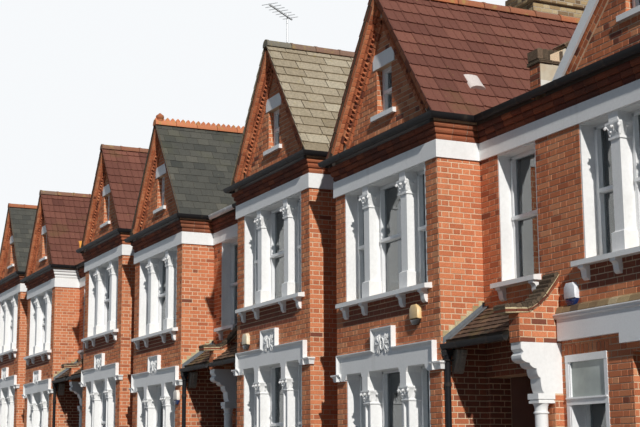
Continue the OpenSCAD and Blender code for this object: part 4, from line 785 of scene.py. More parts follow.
def porch_top(y):
    """The height of a porch wall's top at a depth."""
    return PORCH_FOOT + SWEEP_RISE * (max(0.0, y - SWEEP_Y) / (OUT - SWEEP_Y)) ** SWEEP_POWER


def porch_reach(z):
    """The depth where a porch wall's top reaches a height."""
    if z <= PORCH_FOOT:
        return PORCH_FRONT
    return SWEEP_Y + (OUT - SWEEP_Y) * ((z - PORCH_FOOT) / SWEEP_RISE) ** (1 / SWEEP_POWER)


porch_bricks = Part("porch_bricks")
for line in PORCHES:
    front, pier, low = front_wall(line, PORCH_FRONT), front_wall(line, PIER_FRONT), -line.level
    lay(porch_bricks, front, -HALF_PARTY, HALF_PARTY, BRACKET_TOP, PORCH_FOOT, middle=0.5)
    lay(porch_bricks, pier, -HALF_PARTY, HALF_PARTY, low, COLUMN_TOP, middle=0.58)
    for facing in (-1, 1):
        wall = side_wall(line, facing * HALF_PARTY, facing)
        lay(porch_bricks, wall, PORCH_FRONT, OUT, BRACKET_TOP, PORCH_TOP, reach=porch_reach,
            middle=0.46, spread=0.24)
        lay(porch_bricks, wall, PIER_FRONT, OUT, low, COLUMN_TOP, start=1, middle=0.58)
porch_bricks.done(red_brick, "brick")

sides = Part("side_bricks")
for x, facing, lift in ((ROW_RIGHT - 0.003, 1, 0), (ROW_LEFT, -1, LEVELS[3])):
    lay(sides, party_side(x, facing), OUT, REAR, 0, MAIN_RIDGE + lift, (), roof_slopes(lift), middle=0.45)
for line in LINES[1:6:2]:
    lay(sides, party_side(line.mid + HALF_PARTY, 1), OUT, REAR, SIDE_FOOT, MAIN_RIDGE + line.level, (),
        roof_slopes(line.level), middle=0.4)
PARAPET_LINE, PARAPET_FRONT = LINES[0], 0.51
PARAPET_SLOPES = roof_slopes(PARAPET + MAIN_DROP)
lay(sides, side_wall(PARAPET_LINE, -HALF_PARTY, -1), PARAPET_FRONT, REAR, SIDE_FOOT, MAIN_RIDGE + PARAPET,
    slopes=PARAPET_SLOPES, middle=0.3)
lay(sides, front_wall(PARAPET_LINE, PARAPET_FRONT), -HALF_PARTY, HALF_PARTY, EAVES, KNEELER, middle=0.15)
sides.done(red_brick, "party_brick")

parapet_side = Part("parapet_render")
KNEELER_BACK, SPLASH = 0.86, EAVES + 0.1
for rect, tone in (((PARAPET_FRONT, EAVES, KNEELER_BACK, SPLASH), 1.0),
                   ((PARAPET_FRONT, SPLASH, KNEELER_BACK, KNEELER), 0.15),
                   ((KNEELER_BACK, EAVES, REAR, MAIN_RIDGE + PARAPET), 0.3)):
    outline = corners(*rect)
    for slope in PARAPET_SLOPES:
        outline = clipped(outline, *slope)
    brick(parapet_side, side_wall(PARAPET_LINE, HALF_PARTY, 1), outline, tone, 0.008, 0.0)
parapet_side.done(cream_render, "render")


def rear_bricks(part, h):
    """A rear wall of stock brick with a soldier arch over each opening."""
    wall, openings = front_wall(h, h.rear()[2], 1), h.rear_openings()
    arches = [(a - 0.08, top, b + 0.08, top + LONG) for a, _, b, top in openings]
    lay(part, wall, h.line(0)[0][0], h.line(0)[-1][0], -h.level, WALL_TOP, openings + arches)
    for arch in arches:
        soldiers(part, wall, *arch, middle=0.35)


def stack_bricks(part, line):
    """The four faces of a chimney stack, with an oversailing course near its top."""
    top = MAIN_RIDGE + STACK_H
    low, high = top - 2 * OVERSAIL, top - OVERSAIL
    for grow, z0, z1, middle in ((0, STACK_FOOT, low, 0.5), (0.06, low, high, 0.3), (0, high, top, 0.4)):
        x, y0, y1 = STACK_HALF + grow, STACK_FRONT - grow, STACK_BACK + grow
        for wall, u0, u1, start in (
                (front_wall(line, y0), -x, x, 0), (front_wall(line, y1, 1), -x, x, 0),
                (side_wall(line, -x, -1), y0, y1, 1), (side_wall(line, x, 1), y0, y1, 1)):
            lay(part, wall, u0, u1, z0, z1, start=start, middle=middle)


rear = Part("rear_bricks")
for h in ROW:
    rear_bricks(rear, h)
for line in LINES[1:6:2]:
    stack_bricks(rear, line)
rear.done(stock_brick, "stock_brick")


# Cornices and gutters
def section(h, line, profile, k, share, nudge=0.0):
    """A moulding's outline at a share of the way along one side of a line in plan."""
    start, end = Vector(line(0)[k]), Vector(line(0)[k + 1])
    along = (end - start).normalized()
    outward = Vector((along.y, -along.x))
    points = []
    for out, z in profile:
        mitred = share in (0, 1)
        place = Vector(line(out)[k + share]) if mitred else start.lerp(end, share) + outward * out
        place += along * nudge
        points.append(h.at(place.x, place.y, z))
    return points


def sides_of(line, only, every):
    """The sides of a line in plan that are wanted, each with its count of equal lengths."""
    for k, (start, end) in enumerate(zip(line(0), line(0)[1:])):
        if only is None or k in only:
            yield k, max(1, round((Vector(end) - Vector(start)).length / every))


def moulded(part, h, line, profile, only=None, tone=0.5, brick_length=20, gap=0.0, spread=0.0):
    """Lengths of a moulding along a line in plan, each made from (out, z) points and mitred at corners."""
    for k, count in sides_of(line, only, brick_length):
        for j in range(count):
            first = section(h, line, profile, k, j / count if j else 0, gap / 2)
            last = section(h, line, profile, k, (j + 1) / count if j + 1 < count else 1, -gap / 2)
            part.loft([first, last], brick_tone(spread, tone) if spread else tone)


def collars(part, h, line, profile, only):
    """A gutter's joints and straps, as short wider lengths of it at intervals."""
    width = 0.045
    for k, count in sides_of(line, only, 0.9):
        for j in range(count):
            share = (j + 0.5) / count
            part.loft([section(h, line, profile, k, share, nudge) for nudge in (-width / 2, width / 2)])


def roll(k, lift=0.0):
    """A cornice course that swells from the one below it, k courses up."""
    step, height = 0.03, (WALL_TOP - CORNICE) / 3
    z, out, back = CORNICE + k * height + 0.004, k * step + lift, k * step - 0.002
    upper = z + height - 0.008
    return [(-0.02, z), (back + lift, z), (out + step * 0.55, z + 0.012), (out + step, z + 0.036),
            (out + step, z + height - 0.020), (out + step * 0.9, upper), (-0.02, upper)]


cornice, cornice_mortar, painted = Part("cornice_bricks"), Part("cornice_mortar"), Part("painted_cornice")
for h in ROW:
    white = (3,) if h.name == "f" else ()
    for k in range(3):
        # Painted shade: the cornice bricks on the fronts take dark tones for the deep shade under the
        # gutters, those on the returns lighter ones.
        for facing, tone in (({0, 2, 4}, 0.20), ({1, 3}, 0.72)):
            moulded(cornice, h, h.line, roll(k), facing.difference(white), tone, 0.225, 0.008, 0.15)
        moulded(painted, h, h.line, roll(k), white)
        moulded(cornice_mortar, h, h.line, roll(k, -0.007), {0, 1, 2, 3, 4}.difference(white))
cornice.done(dark_brick, "cornice_brick", ["cornices"], closed=True)
painted.done(white_stone, "white_stone", closed=True)
cornice_mortar.done(grey_mortar, "cornice_brick", closed=True)

# A gutter's middle, top, radius and depth, at the eaves and on a porch
EAVES_GUTTER, PORCH_GUTTER = (0.15, EAVES - 0.004, 0.056, 0.080), (0.0, 3.266, 0.048, 0.074)


def trough(middle, top, r, depth, thick=0.008):
    """A half-round gutter's outline about a distance out."""
    def half(r, depth):
        return [(middle - r * math.cos(a), top - depth * math.sin(a)) for a in arc(0, 22.5, 9)]
    return half(r, depth) + half(thick - r, depth - thick)


def gutter(part, h, line, size, only=None):
    middle, top, r, depth = size
    moulded(part, h, line, trough(*size), only, 0.1)
    collars(part, h, line, trough(middle, top + 0.001, r + 0.003, depth + 0.003, 0.010), only)


gutters, white_gutter = Part("eaves_gutters"), Part("white_gutter")
for h in ROW:
    white = {4} if h.name == "d" else set()
    gutter(gutters, h, h.line, EAVES_GUTTER, {0, 1, 2, 3, 4} - white)
    gutter(white_gutter, h, h.line, EAVES_GUTTER, white)
    gutter(gutters, h, h.rear_line, EAVES_GUTTER)
    if h is not END:
        gutter(gutters, h, h.porch_line, PORCH_GUTTER)
gutters.done(gutter_black, "black_gutter", ["gutters"], smooth=40, closed=True)
white_gutter.done(white_stone, "white_stone", smooth=40, closed=True)

# Collars, clips and the joint boxes of the bays' downpipes
PIPE_X, PIPE_Y = 1.588, 0.05
pipe_fittings = Part("pipe_fittings")
for h in HOUSES:
    for z in (-h.level + 0.35, 1.55, 2.72):
        collar = [(0.038, z), (0.048, z), (0.048, z + 0.05), (0.038, z + 0.05)]
        pipe_fittings.lathe(h.at, PIPE_X, PIPE_Y, collar, 16)
        pipe_fittings.box(h.at, (BAY, PIPE_Y - 0.015, z + 0.01), (PIPE_X - 0.028, PIPE_Y + 0.015, z + 0.04))
    for z in (3.045, 3.16):
        pipe_fittings.box(h.at, (PIPE_X - 0.06, PIPE_Y - 0.06, z), (PIPE_X + 0.06, PIPE_Y + 0.06, z + 0.018),
                          0.3)
pipe_fittings.done(gutter_black, "black_gutter", smooth=40, closed=True)


# Tiles and slates: the gauge and width of each kind, and the heights across one tile
TILES = {
    "red": dict(gauge=0.258, width=0.30, bond=False, lift=0.026,
                across=[(0, 0.004), (0.06, 0.018), (0.12, 0.004), (0.5, 0.0), (0.56, 0.014), (0.62, 0.0),
                        (0.985, 0.0)]),
    "slab": dict(gauge=0.222, width=0.42, bond=True, lift=0.030, across=[(0, 0.0), (0.965, 0.0)]),
    "slate": dict(gauge=0.200, width=0.25, bond=True, lift=0.012, across=[(0, 0.0), (0.975, 0.0)]),
    "porch": dict(gauge=0.110, width=0.165, bond=True, lift=0.018,
                  across=[(0, 0.0), (0.5, 0.003), (0.97, 0.0)]),
}
ROOFS = {"red": (red_tile, "red_tile"), "slab": (slab_tile, "stone_slab"), "slate": (slate_tile, "slate")}
OVERLAP, NARROWEST, VALLEY, PORCH_TILED = 1.25, 0.02, 0.012, 0.6


def tile_shape(run, origin, u, v, x, wide, ends, s0, s1, jitter):
    """The points and faces of one tile: its raised lower end, its top, and its foot on the tile below."""
    normal = u.cross(v)
    if normal.z < 0:
        normal = -normal
    a, b = ends
    shares = run["across"]
    low_end, high_end = [], []
    for share, height in shares:
        p = x + share * wide
        if a <= p <= b or share in (shares[0][0], shares[-1][0]):
            p = min(max(p, a), b)
            low_end.append(origin + u * p + v * s0 + normal * (height + run["lift"] + jitter))
            high_end.append(origin + u * p + v * s1 + normal * (height + 0.002))
    count = len(low_end)
    foot = [origin + u * p + v * s0 - normal * 0.004 for p in ends]
    faces = [(k, k + 1, count + k + 1, count + k) for k in range(count - 1)]
    faces.append((2 * count, 2 * count + 1, *reversed(range(count))))
    faces += [(0, count, 2 * count), (count - 1, 2 * count + 1, 2 * count - 1)]
    return low_end + high_end + foot, faces


def add_cut(part, points, faces, planes, tone, flip):
    """Adds a shape where it lies under all the planes, cut along those that cross it."""
    under = [[normal.dot(p) <= limit for p in points] for normal, limit in planes]
    if all(all(side) for side in under):
        part.add(points, faces, tone, flip)
    elif all(any(side) for side in under):
        for face in faces:
            outline = [points[i] for i in face]
            for plane in planes:
                outline = clipped(outline, *plane)
            if len(outline) > 2:
                part.add(outline, [range(len(outline))], tone, flip)


def tiles(part, origin, u, v, u0, u1, length, kind, planes=()):
    """Courses of tiles up a slope, each tilted over the one below, cut along planes."""
    run = TILES[kind]
    count = max(1, round(length / run["gauge"]))
    gauge = length / count
    for j in range(count):
        x = u0 - (run["width"] * (0.5 if run["bond"] and j % 2 else 0))
        while x < u1 - NARROWEST:
            wide = run["width"] * (random.uniform(0.8, 1.2) if kind == "slab" else 1)
            ends = max(x, u0), min(x + wide * run["across"][-1][0], u1)
            skew = random.uniform(-0.004, 0.004) if kind != "red" else 0
            tone = shade(0.5, 0.13 if kind == "red" else 0.2)
            rise = random.uniform(-0.003, 0.003)
            if ends[1] - ends[0] > NARROWEST:
                s0, s1 = j * gauge + skew, min((j + OVERLAP) * gauge, length)
                points, faces = tile_shape(run, origin, u, v, x, wide, ends, s0, s1, rise)
                add_cut(part, points, faces, planes, tone, u.cross(v).z < 0)
            x += wide


def roof(h, x0, x1):
    """A house's tiles: two main slopes and the two of its gable, cut where they meet."""
    part = Part("roof_tiles_" + h.name)
    sin_m, cos_m = math.sin(MAIN_PITCH), math.cos(MAIN_PITCH)
    sin_g, cos_g = math.sin(h.pitch), math.cos(h.pitch)
    main_n = Vector((0, -sin_m, cos_m))
    eaves = street(0, MAIN_EAVES, EAVES + h.level)
    main_limit = main_n.dot(eaves) + VALLEY
    length = (MAIN_RIDGE_Y - MAIN_EAVES) / cos_m
    apex = street(h.mid, 0, h.top + h.level)
    along = Vector((1, 0, 0))
    for hand, a, b in ((1, h.mid, x1), (-1, x0, h.mid)):
        gable_n = Vector((hand * sin_g, 0, cos_g))
        tiles(part, eaves, along, Vector((0, cos_m, sin_m)), a, b, length, h.roof,
              [(-gable_n, -gable_n.dot(apex) - VALLEY)])
        low = street(h.mid + hand * h.foot, 0, EAVES + h.level)
        tiles(part, low, Vector((0, 1, 0)), Vector((-hand * cos_g, 0, sin_g)), h.front - h.verge,
              MAIN_RIDGE_Y, (h.top - EAVES) / sin_g, h.roof, [(-main_n, -main_limit)])
    back = street(0, 2 * MAIN_RIDGE_Y - MAIN_EAVES, EAVES + h.level)
    tiles(part, back, along, Vector((0, -cos_m, sin_m)), x0, x1, length, h.roof)
    part.done(*ROOFS[h.roof])


for h in HOUSES:
    plain_end = PLAIN_PARTY + (HALF_PARTY if h.hand < 0 else -HALF_PARTY)
    porch_end = h.porch_party + {"b": -HALF_PARTY, "g": HALF_PARTY}.get(h.name, 0)
    roof(h, *sorted((h.mid - h.hand * plain_end, h.mid + h.hand * porch_end)))
roof(END, LINES[0].mid + HALF_PARTY, ROW_RIGHT)

porch_angle = math.atan(PORCH_SLOPE)
porch_up = Vector((0, math.cos(porch_angle), math.sin(porch_angle)))
porch = Part("porch_tiles")
for h in HOUSES:
    foot = h.at(BAY, OUT - PORCH_TILED, PORCH_RIDGE - PORCH_TILED * PORCH_SLOPE)
    tiles(porch, foot, Vector((h.hand, 0, 0)), porch_up, 0, h.porch_party - HALF_PARTY - BAY,
          PORCH_TILED / math.cos(porch_angle), "porch")
porch.done(porch_tile, "porch_tile")

# Ridges
RIDGE_TONES = {"a": 0.45, "b": 0.50, "c": 0.10, "d": 0.95, "e": 0.35, "f": 0.30, "g": 0.70}
RIDGE_SINK, RIDGE_LENGTH, RIDGE_STOP, RIDGE_R, COLLAR_R, FINIAL_FOOT = 0.045, 0.45, 0.13, 0.102, 0.110, 0.055
FINIAL = [(0.0, -0.06), (0.085, -0.06), (0.085, -0.02), (0.062, 0.0), (0.062, 0.015), (0.082, 0.040),
          (0.090, 0.070), (0.080, 0.100), (0.052, 0.122), (0.030, 0.135), (0.022, 0.150), (0.0, 0.156)]


def gable_ridge(h, s, x, z):
    """A point by its distance back from the verge, across the gable's ridge and up."""
    return h.at(x, s - h.verge, h.top - RIDGE_SINK + z)


def ridge_ends(h):
    """The ends of the tiles on the main ridge of a house."""
    if h is END:
        return END_LEFT + RIDGE_STOP, END_RIGHT
    return -PLAIN_PARTY + RIDGE_STOP, h.porch_party - RIDGE_STOP


def main_ridge(h, s, y, z):
    """A point by its distance along the main ridge, across it and up."""
    return h.at(ridge_ends(h)[0] + s, MAIN_RIDGE_Y - h.front + y, MAIN_RIDGE - RIDGE_SINK + z)


def crest(part, h, at, s, width, tone):
    """One pointed lobe of a ridge tile's crest."""
    outline = [(s, 0.090), (s + width, 0.090), (s + width, 0.125), (s + width * 0.75, 0.150),
               (s + width * 0.5, 0.172), (s + width * 0.25, 0.150), (s, 0.125)]
    part.loft([[at(h, a, across, z) for a, z in outline] for across in (-0.012, 0.012)], tone)


def ridge(part, h, at, length, crested=False):
    """Half-round ridge tiles with a collar at one end, some with a pierced crest."""
    count = max(1, round(length / RIDGE_LENGTH))
    step = length / count
    for j in range(count):
        tone = shade(RIDGE_TONES[h.name], 0.10)
        rings = []
        for s, r in ((0.0, COLLAR_R), (0.045, COLLAR_R), (0.050, RIDGE_R), (step - 0.008, RIDGE_R)):
            rings.append([at(h, j * step + s, r * math.cos(a), r * math.sin(a)) for a in arc(-10, 25, 9)])
        part.loft(rings, tone)
        if crested:
            for k in range(4):
                crest(part, h, at, (j + k / 4 + 0.02) * step, step / 4 - 0.02, tone)


def gable_end(h):
    """Where a gable's ridge runs into the main roof, as a Y in the house's frame."""
    return MAIN_EAVES + (h.top - 1.3 * COLLAR_R - EAVES) / math.tan(MAIN_PITCH) - h.front


ridges = Part("ridge_courses")
for h in ROW:
    ridge(ridges, h, gable_ridge, gable_end(h) + h.verge, h.name == "d")
    x0, x1 = ridge_ends(h)
    ridge(ridges, h, main_ridge, x1 - x0)
ridges.lathe(HOUSES[2].at, 0, 0, [(r, GABLE_RIDGE + FINIAL_FOOT + z) for r, z in FINIAL], 16, 0.6)
ridges.done(ridge_clay, "ridge_clay", ["ridge_tiles"], smooth=35, closed=True)


# Copings
def along_path(path, s):
    """The place and direction a distance along a bent line of (y, z) points."""
    for start, end in zip(path, path[1:]):
        step = (end - start).length
        if s <= step or end is path[-1]:
            return start + (end - start).normalized() * s, (end - start).normalized()
        s -= step


def coping_course(part, line, path, half, low, high, width, middle, crown=0.0):
    """Tiles laid across a wall's top, side by side along a line of (y, z) points.

    They reach half to each side, from low to high above the line, each about a width long.
    """
    total = sum((b - a).length for a, b in zip(path, path[1:]))
    count = max(1, round(total / width))
    step = total / count
    top = high + crown
    for j in range(count):
        jitter, reach = random.uniform(-0.003, 0.003), half + random.uniform(-0.006, 0.0)
        outline = []
        for share, lift in ((0.02, low), (0.98, low), (0.98, high), (0.7, top), (0.3, top), (0.02, high)):
            place, along = along_path(path, (j + share) * step)
            place += Vector((-along.y, along.x)) * (lift + jitter)
            outline.append((place.x, place.y))
        part.across(line.at, outline, -reach, reach, shade(middle, 0.2))


def level_path(y0, y1, z):
    return [Vector((y0, z)), Vector((y1, z))]


PORCH_PATH = [Vector((-0.13, PORCH_FOOT - 0.015)), Vector((PORCH_FRONT, PORCH_FOOT))]
for k in range(9):
    y = SWEEP_Y + (OUT - SWEEP_Y) * k / 8
    PORCH_PATH.append(Vector((y, porch_top(y))))
PARAPET_FOOT = EAVES + 0.09 * math.tan(MAIN_PITCH) + PARAPET
PARAPET_PATH = [Vector((0.90, PARAPET_FOOT + 0.23 * math.tan(MAIN_PITCH))),
                Vector((MAIN_RIDGE_Y, MAIN_RIDGE + PARAPET)), Vector((REAR, PARAPET_FOOT))]
CAP_PATH = level_path(0.48, 0.89, KNEELER)

coping_tiles, coping_bricks = Part("coping_tiles"), Part("coping_bricks")
coping_mortar, parapet = Part("coping_mortar"), Part("parapet_tiles")
for line in PORCHES:
    coping_course(coping_mortar, line, PORCH_PATH, 0.128, -0.048, -0.036, 0.30, 0.8)
    coping_course(coping_bricks, line, PORCH_PATH, 0.132, -0.037, -0.006, 0.165, 0.45)
    coping_course(coping_mortar, line, PORCH_PATH, 0.130, -0.007, 0.010, 0.30, 0.8)
    coping_course(coping_tiles, line, PORCH_PATH, 0.130, 0.008, 0.040, 0.085, 0.4, crown=0.020)
coping_tiles.done(mossy_tile, "porch_tile", ["porch_copings"], closed=True)
coping_bricks.done(dark_brick, "cornice_brick", closed=True)
for path in (PARAPET_PATH, CAP_PATH):
    coping_course(parapet, PARAPET_LINE, path, 0.144, 0.002, 0.018, 0.165, 0.35)
    coping_course(coping_mortar, PARAPET_LINE, path, 0.134, 0.016, 0.030, 0.30, 0.4)
    coping_course(parapet, PARAPET_LINE, path, 0.140, 0.028, 0.044, 0.165, 0.3)
coping_course(parapet, PARAPET_LINE, PARAPET_PATH, 0.130, 0.044, 0.058, 0.22, 0.45, crown=0.010)
coping_course(parapet, PARAPET_LINE, CAP_PATH, 0.112, 0.060, 0.180, 0.075, 0.5, crown=0.012)
coping_course(parapet, PARAPET_LINE, CAP_PATH, 0.108, 0.042, 0.172, 0.41, 0.3)
coping_course(parapet, PARAPET_LINE, level_path(KNEELER_BACK, 1.02, KNEELER), 0.118, 0.0, 0.17, 0.16, 0.2)
parapet.done(mossy_tile, "grey_stone", ["parapet_coping"], closed=True)
coping_mortar.done(yellow_mortar, "porch_tile", closed=True)


# Lead flashings beside the porch roofs, with stepped pointing above
def porch_roof_z(y):
    """The height of a porch roof at a depth."""
    return PORCH_RIDGE - (OUT - y) * PORCH_SLOPE


FLASHING_Y, FLASHING_STEP, FLASHING_H, LEAD = 0.02, 0.093, 0.085, 0.012
flashings, pointing = Part("lead_flashings"), Part("flashing_pointing")
for h in HOUSES:
    low, high = porch_roof_z(FLASHING_Y), porch_roof_z(OUT)
    outline = [(FLASHING_Y, low), (OUT, high), (OUT, high + FLASHING_H), (FLASHING_Y, low + FLASHING_H)]
    flashings.across(h.at, outline, BAY - 0.002, BAY + 0.010, 0.4)
    for k in range(7):
        y0, y1 = FLASHING_Y + FLASHING_STEP * k, FLASHING_Y + FLASHING_STEP * (k + 1)
        low, high = porch_roof_z(y0), porch_roof_z(y1)
        outline = [(y0, low + 0.08), (y1, high + 0.08), (y1, high + 0.105), (y0, high + 0.105)]
        pointing.across(h.at, outline, BAY - 0.002, BAY + 0.007, random.random())
    (y0, z0), (y1, z1) = (0.067, PORCH_EAVES + 0.05), (OUT, PORCH_RIDGE + 0.03)
    flashings.across(h.at, [(y0, z0), (y1, z1), (y1, z1 + LEAD), (y0, z0 + LEAD)], BAY, BAY + 0.11, 0.6)
flashings.done(lead, "black_gutter", closed=True)
pointing.done(yellow_mortar, "render", closed=True)

# Mortar under the verge tiles, along both slopes of each bay's gable
verge_mortar = Part("verge_mortar")
for h in HOUSES:
    for hand in (-1, 1):
        foot_x = GABLE_FOOT - 0.02
        foot_z = GABLE_RIDGE - foot_x * math.tan(GABLE_PITCH)
        lower = h.at(hand * foot_x, -VERGE - 0.006, foot_z + 0.012)
        upper = h.at(0, -VERGE - 0.006, GABLE_RIDGE + 0.012)
        steps = []
        for k in range(13):
            steps.append(lower.lerp(upper, k / 12) + Vector((0, random.uniform(-0.003, 0.003), 0)))
        verge_mortar.tube(steps, [0.009] * 13, 6, 1.0 if h.name == "b" and hand > 0 else 0.4)
verge_mortar.done(mossy_tile, "render", smooth=50, closed=True)

# Boards under the gables' feet, dark as the gutters whose ends they meet; their black is partly painted shade
# for the strip under the gutters
fascias = Part("fascia_boards")
for h in HOUSES:
    fascias.box(h.at, (-BAY - 0.08, -0.012, WALL_TOP + 0.002),
                (BAY + 0.08, GABLE_BACK - 0.004, EAVES - 0.002))
    for x in (-BAY - 0.03, BAY + 0.03):
        fascias.box(h.at, (x - 0.05, -0.088, WALL_TOP + 0.002), (x + 0.05, -0.012, EAVES - 0.010))
fascias.done(gutter_black, "black_gutter")

# The end house's band: a moulding along its top edge and a mossy row of bricks above
BAND_LEFT, BAND_RIGHT = END_LEFT + 0.03, END_RIGHT - 0.02
moulding = Part("band_moulding")
BAND = [(-0.078, 3.505), (-0.118, 3.498), (-0.120, 3.486), (-0.108, 3.474), (-0.104, 3.452), (-0.092, 3.440),
        (-0.078, 3.438)]
moulding.across(END.at, BAND, BAND_LEFT, BAND_RIGHT + 0.01)
moulding.done(joinery, "white_joinery", closed=True)
mossy_row = Part("mossy_course")
u = BAND_LEFT
while u < BAND_RIGHT:
    wide = min(random.uniform(0.16, 0.24), BAND_RIGHT - u)
    top = 3.575 + random.uniform(-0.006, 0.006)
    outline = [(0, 3.55), (-0.075, 3.500), (-0.080, 3.515), (-0.055, top), (0, 3.605)]
    mossy_row.across(END.at, outline, u, u + wide - 0.008, random.random())
    u += wide
mossy_row.done(stock_brick, "stock_brick", closed=True)

# Carved stone
LABEL_W, LABEL_Z, PANEL_W, PANEL_Z, LABEL_LOW = 1.415, 3.33, 0.31, 3.625, 2.945
RIM = [(0, 0), (0, 0.080), (0.014, 0.080), (0.022, 0.068), (0.030, 0.056), (0.042, 0.046), (0.056, 0.038),
       (0.070, 0.034), (0.082, 0.036), (0.095, 0.041), (0.095, 0)]
EAR = [(0, 3.05), (0.080, 3.05), (0.080, 3.030), (0.070, 3.020), (0.056, 3.010), (0.048, 2.990),
       (0.046, 2.965), (0.040, 2.946), (0, 2.946)]
CARVING_Z, FIRST_CAPITAL, GROUND_CAPITAL = 3.395, 5.453, 2.613


def label_path(i):
    """The label mould's corners, a distance in from its edge."""
    left = [(-LABEL_W + i, LABEL_LOW), (-LABEL_W + i, LABEL_Z - i), (-PANEL_W + i, LABEL_Z - i),
            (-PANEL_W + i, PANEL_Z - i)]
    return left + [(-x, z) for x, z in reversed(left)]


def right_ear(out):
    """A label's end in plan, where it turns the bay's corner."""
    return [(LABEL_W - 0.095, -out), (BAY + out, -out), (BAY + out, 0.045)]


def left_ear(out):
    return [(-x, y) for x, y in reversed(right_ear(out))]


labels = Part("moulded_labels")
for h in HOUSES:
    rings = [[h.at(label_path(i)[k][0], -out, label_path(i)[k][1]) for i, out in RIM] for k in range(8)]
    labels.loft(rings)
    for ear in (right_ear, left_ear):
        moulded(labels, h, ear, EAR)
labels.done(white_stone, "white_stone", ["label_moulds"], smooth=32, closed=True)


def leaf_spray(part, h, hand, lean, reach, size):
    """A leaf with a rib and two lobes a side, from the ring's edge outwards."""
    along = Vector((hand * math.cos(lean), math.sin(lean)))
    across = Vector((-math.sin(lean), hand * math.cos(lean)))
    foot = Vector((hand * 0.062, CARVING_Z)) + along * 0.01
    rib = [foot + along * reach * t for t in (0, 0.35, 0.7, 1.0)]
    part.tube([h.at(p.x, -0.052, p.y) for p in rib], [0.010 * size, 0.016 * size, 0.012 * size, 0.003])
    for side in (-1, 1):
        for t in (0.30, 0.62):
            root = foot + along * reach * t
            lobe = [root, root + along * 0.022 * size + across * side * 0.022 * size,
                    root + along * 0.052 * size + across * side * 0.030 * size]
            part.tube([h.at(p.x, -0.048, p.y) for p in lobe], [0.010 * size, 0.013 * size, 0.003])


carving = Part("panel_carving")
for h in HOUSES:
    oval = [h.at(0.050 * math.cos(a), -0.056, CARVING_Z + 0.082 * math.sin(a)) for a in turns(20) + [0.0]]
    carving.tube(oval, [0.012] * 21)
    for a in turns(6):
        petal = [h.at(r * math.cos(a), -0.050, CARVING_Z + 1.5 * r * math.sin(a))
                 for r in (0.004, 0.018, 0.032)]
        carving.tube(petal, [0.006, 0.012, 0.004])
    for hand in (-1, 1):
        leaf_spray(carving, h, hand, 0.0, 0.155, 1.0)
        for rise in (-1, 1):
            leaf_spray(carving, h, hand, rise * 0.75, 0.150, 1.05)
            leaf_spray(carving, h, hand, rise * 1.30, 0.135, 0.8)
carving.done(white_stone, "white_stone", smooth=60, closed=True)


def crocket(part, h, x, y, z, dx, dy, size=1.0):
    """A leaf that climbs a capital's bell and curls over into a knob."""
    curl = [(0, 0), (0.006, 0.040), (0.014, 0.076), (0.032, 0.102), (0.054, 0.108), (0.066, 0.094),
            (0.060, 0.078)]
    bend = math.hypot(dx, dy)
    path = [h.at(x + dx / bend * out * size, y + dy / bend * out * size, z + up * size) for out, up in curl]
    part.tube(path, [r * size for r in (0.018, 0.022, 0.020, 0.017, 0.018, 0.020, 0.010)])


def capital_leaves(part, h, x, y, z):
    """Crockets at the corners and sides of a square capital whose front stands at a depth."""
    half = PIER_W / 2
    for hand in (-1, 1):
        crocket(part, h, x + hand * half, y, z + 0.012, hand, -1)
        crocket(part, h, x + hand * half, y + 0.085, z + 0.020, hand, -0.1, 0.9)
        crocket(part, h, x + hand * half * 0.5, y, z, hand * 0.2, -1, 0.55)
    crocket(part, h, x, y, z + 0.020, 0, -1, 0.9)


leaves = Part("capital_leaves")
for h in ROW:
    for x in (-PIER_X, PIER_X):
        capital_leaves(leaves, h, x, 0.02, FIRST_CAPITAL)
        if h is not END:
            capital_leaves(leaves, h, x, 0.0, GROUND_CAPITAL)
leaves.done(white_stone, "white_stone", smooth=60, closed=True)


def pier_plan(out, front=0.0, flute=0.0):
    """A window pier's plan with its back against the sash, and a hollow down its front."""
    half = PIER_W / 2 + out
    plan = [(-half, SASH_Y), (-half, front - out)]
    if flute:
        plan += [(-0.058 * math.cos(a), front + flute * math.sin(a)) for a in arc(0, 15, 13)]
    return plan + [(half, front - out), (half, SASH_Y)]


def pier_length(part, h, x, levels):
    """A length of a pier through plans at rising levels."""
    part.loft([[h.at(x + px, py, z) for px, py in plan] for z, plan in levels])


def pier(part, h, x):
    """A window pier: its block, fluted shaft, capital and the square stone on top."""
    block, shaft, top = pier_plan(0.030), pier_plan(0, 0, 0.045), pier_plan(0, -0.04)
    capital = ((2.580, 0.004), (2.584, 0.014), (2.595, 0.018), (2.606, 0.014), (2.610, 0.004), (2.66, 0.006),
               (2.70, 0.014), (2.735, 0.028), (2.755, 0.042), (2.758, 0.045), (2.780, 0.045))
    pier_length(part, h, x, [(GROUND_SILL, block), (1.275, block), (1.285, pier_plan(0.026)),
                             (1.30, pier_plan(0.004))])
    pier_length(part, h, x, [(1.29, shaft), (2.585, shaft)])
    pier_length(part, h, x, [(z, pier_plan(out)) for z, out in capital])
    pier_length(part, h, x, [(2.775, top), (3.04, top)])


piers = Part("fluted_piers")
for h in HOUSES:
    for x in (-PIER_X, PIER_X):
        pier(piers, h, x)
piers.done(white_stone, "white_stone", ["ground_columns"], smooth=30, closed=True)

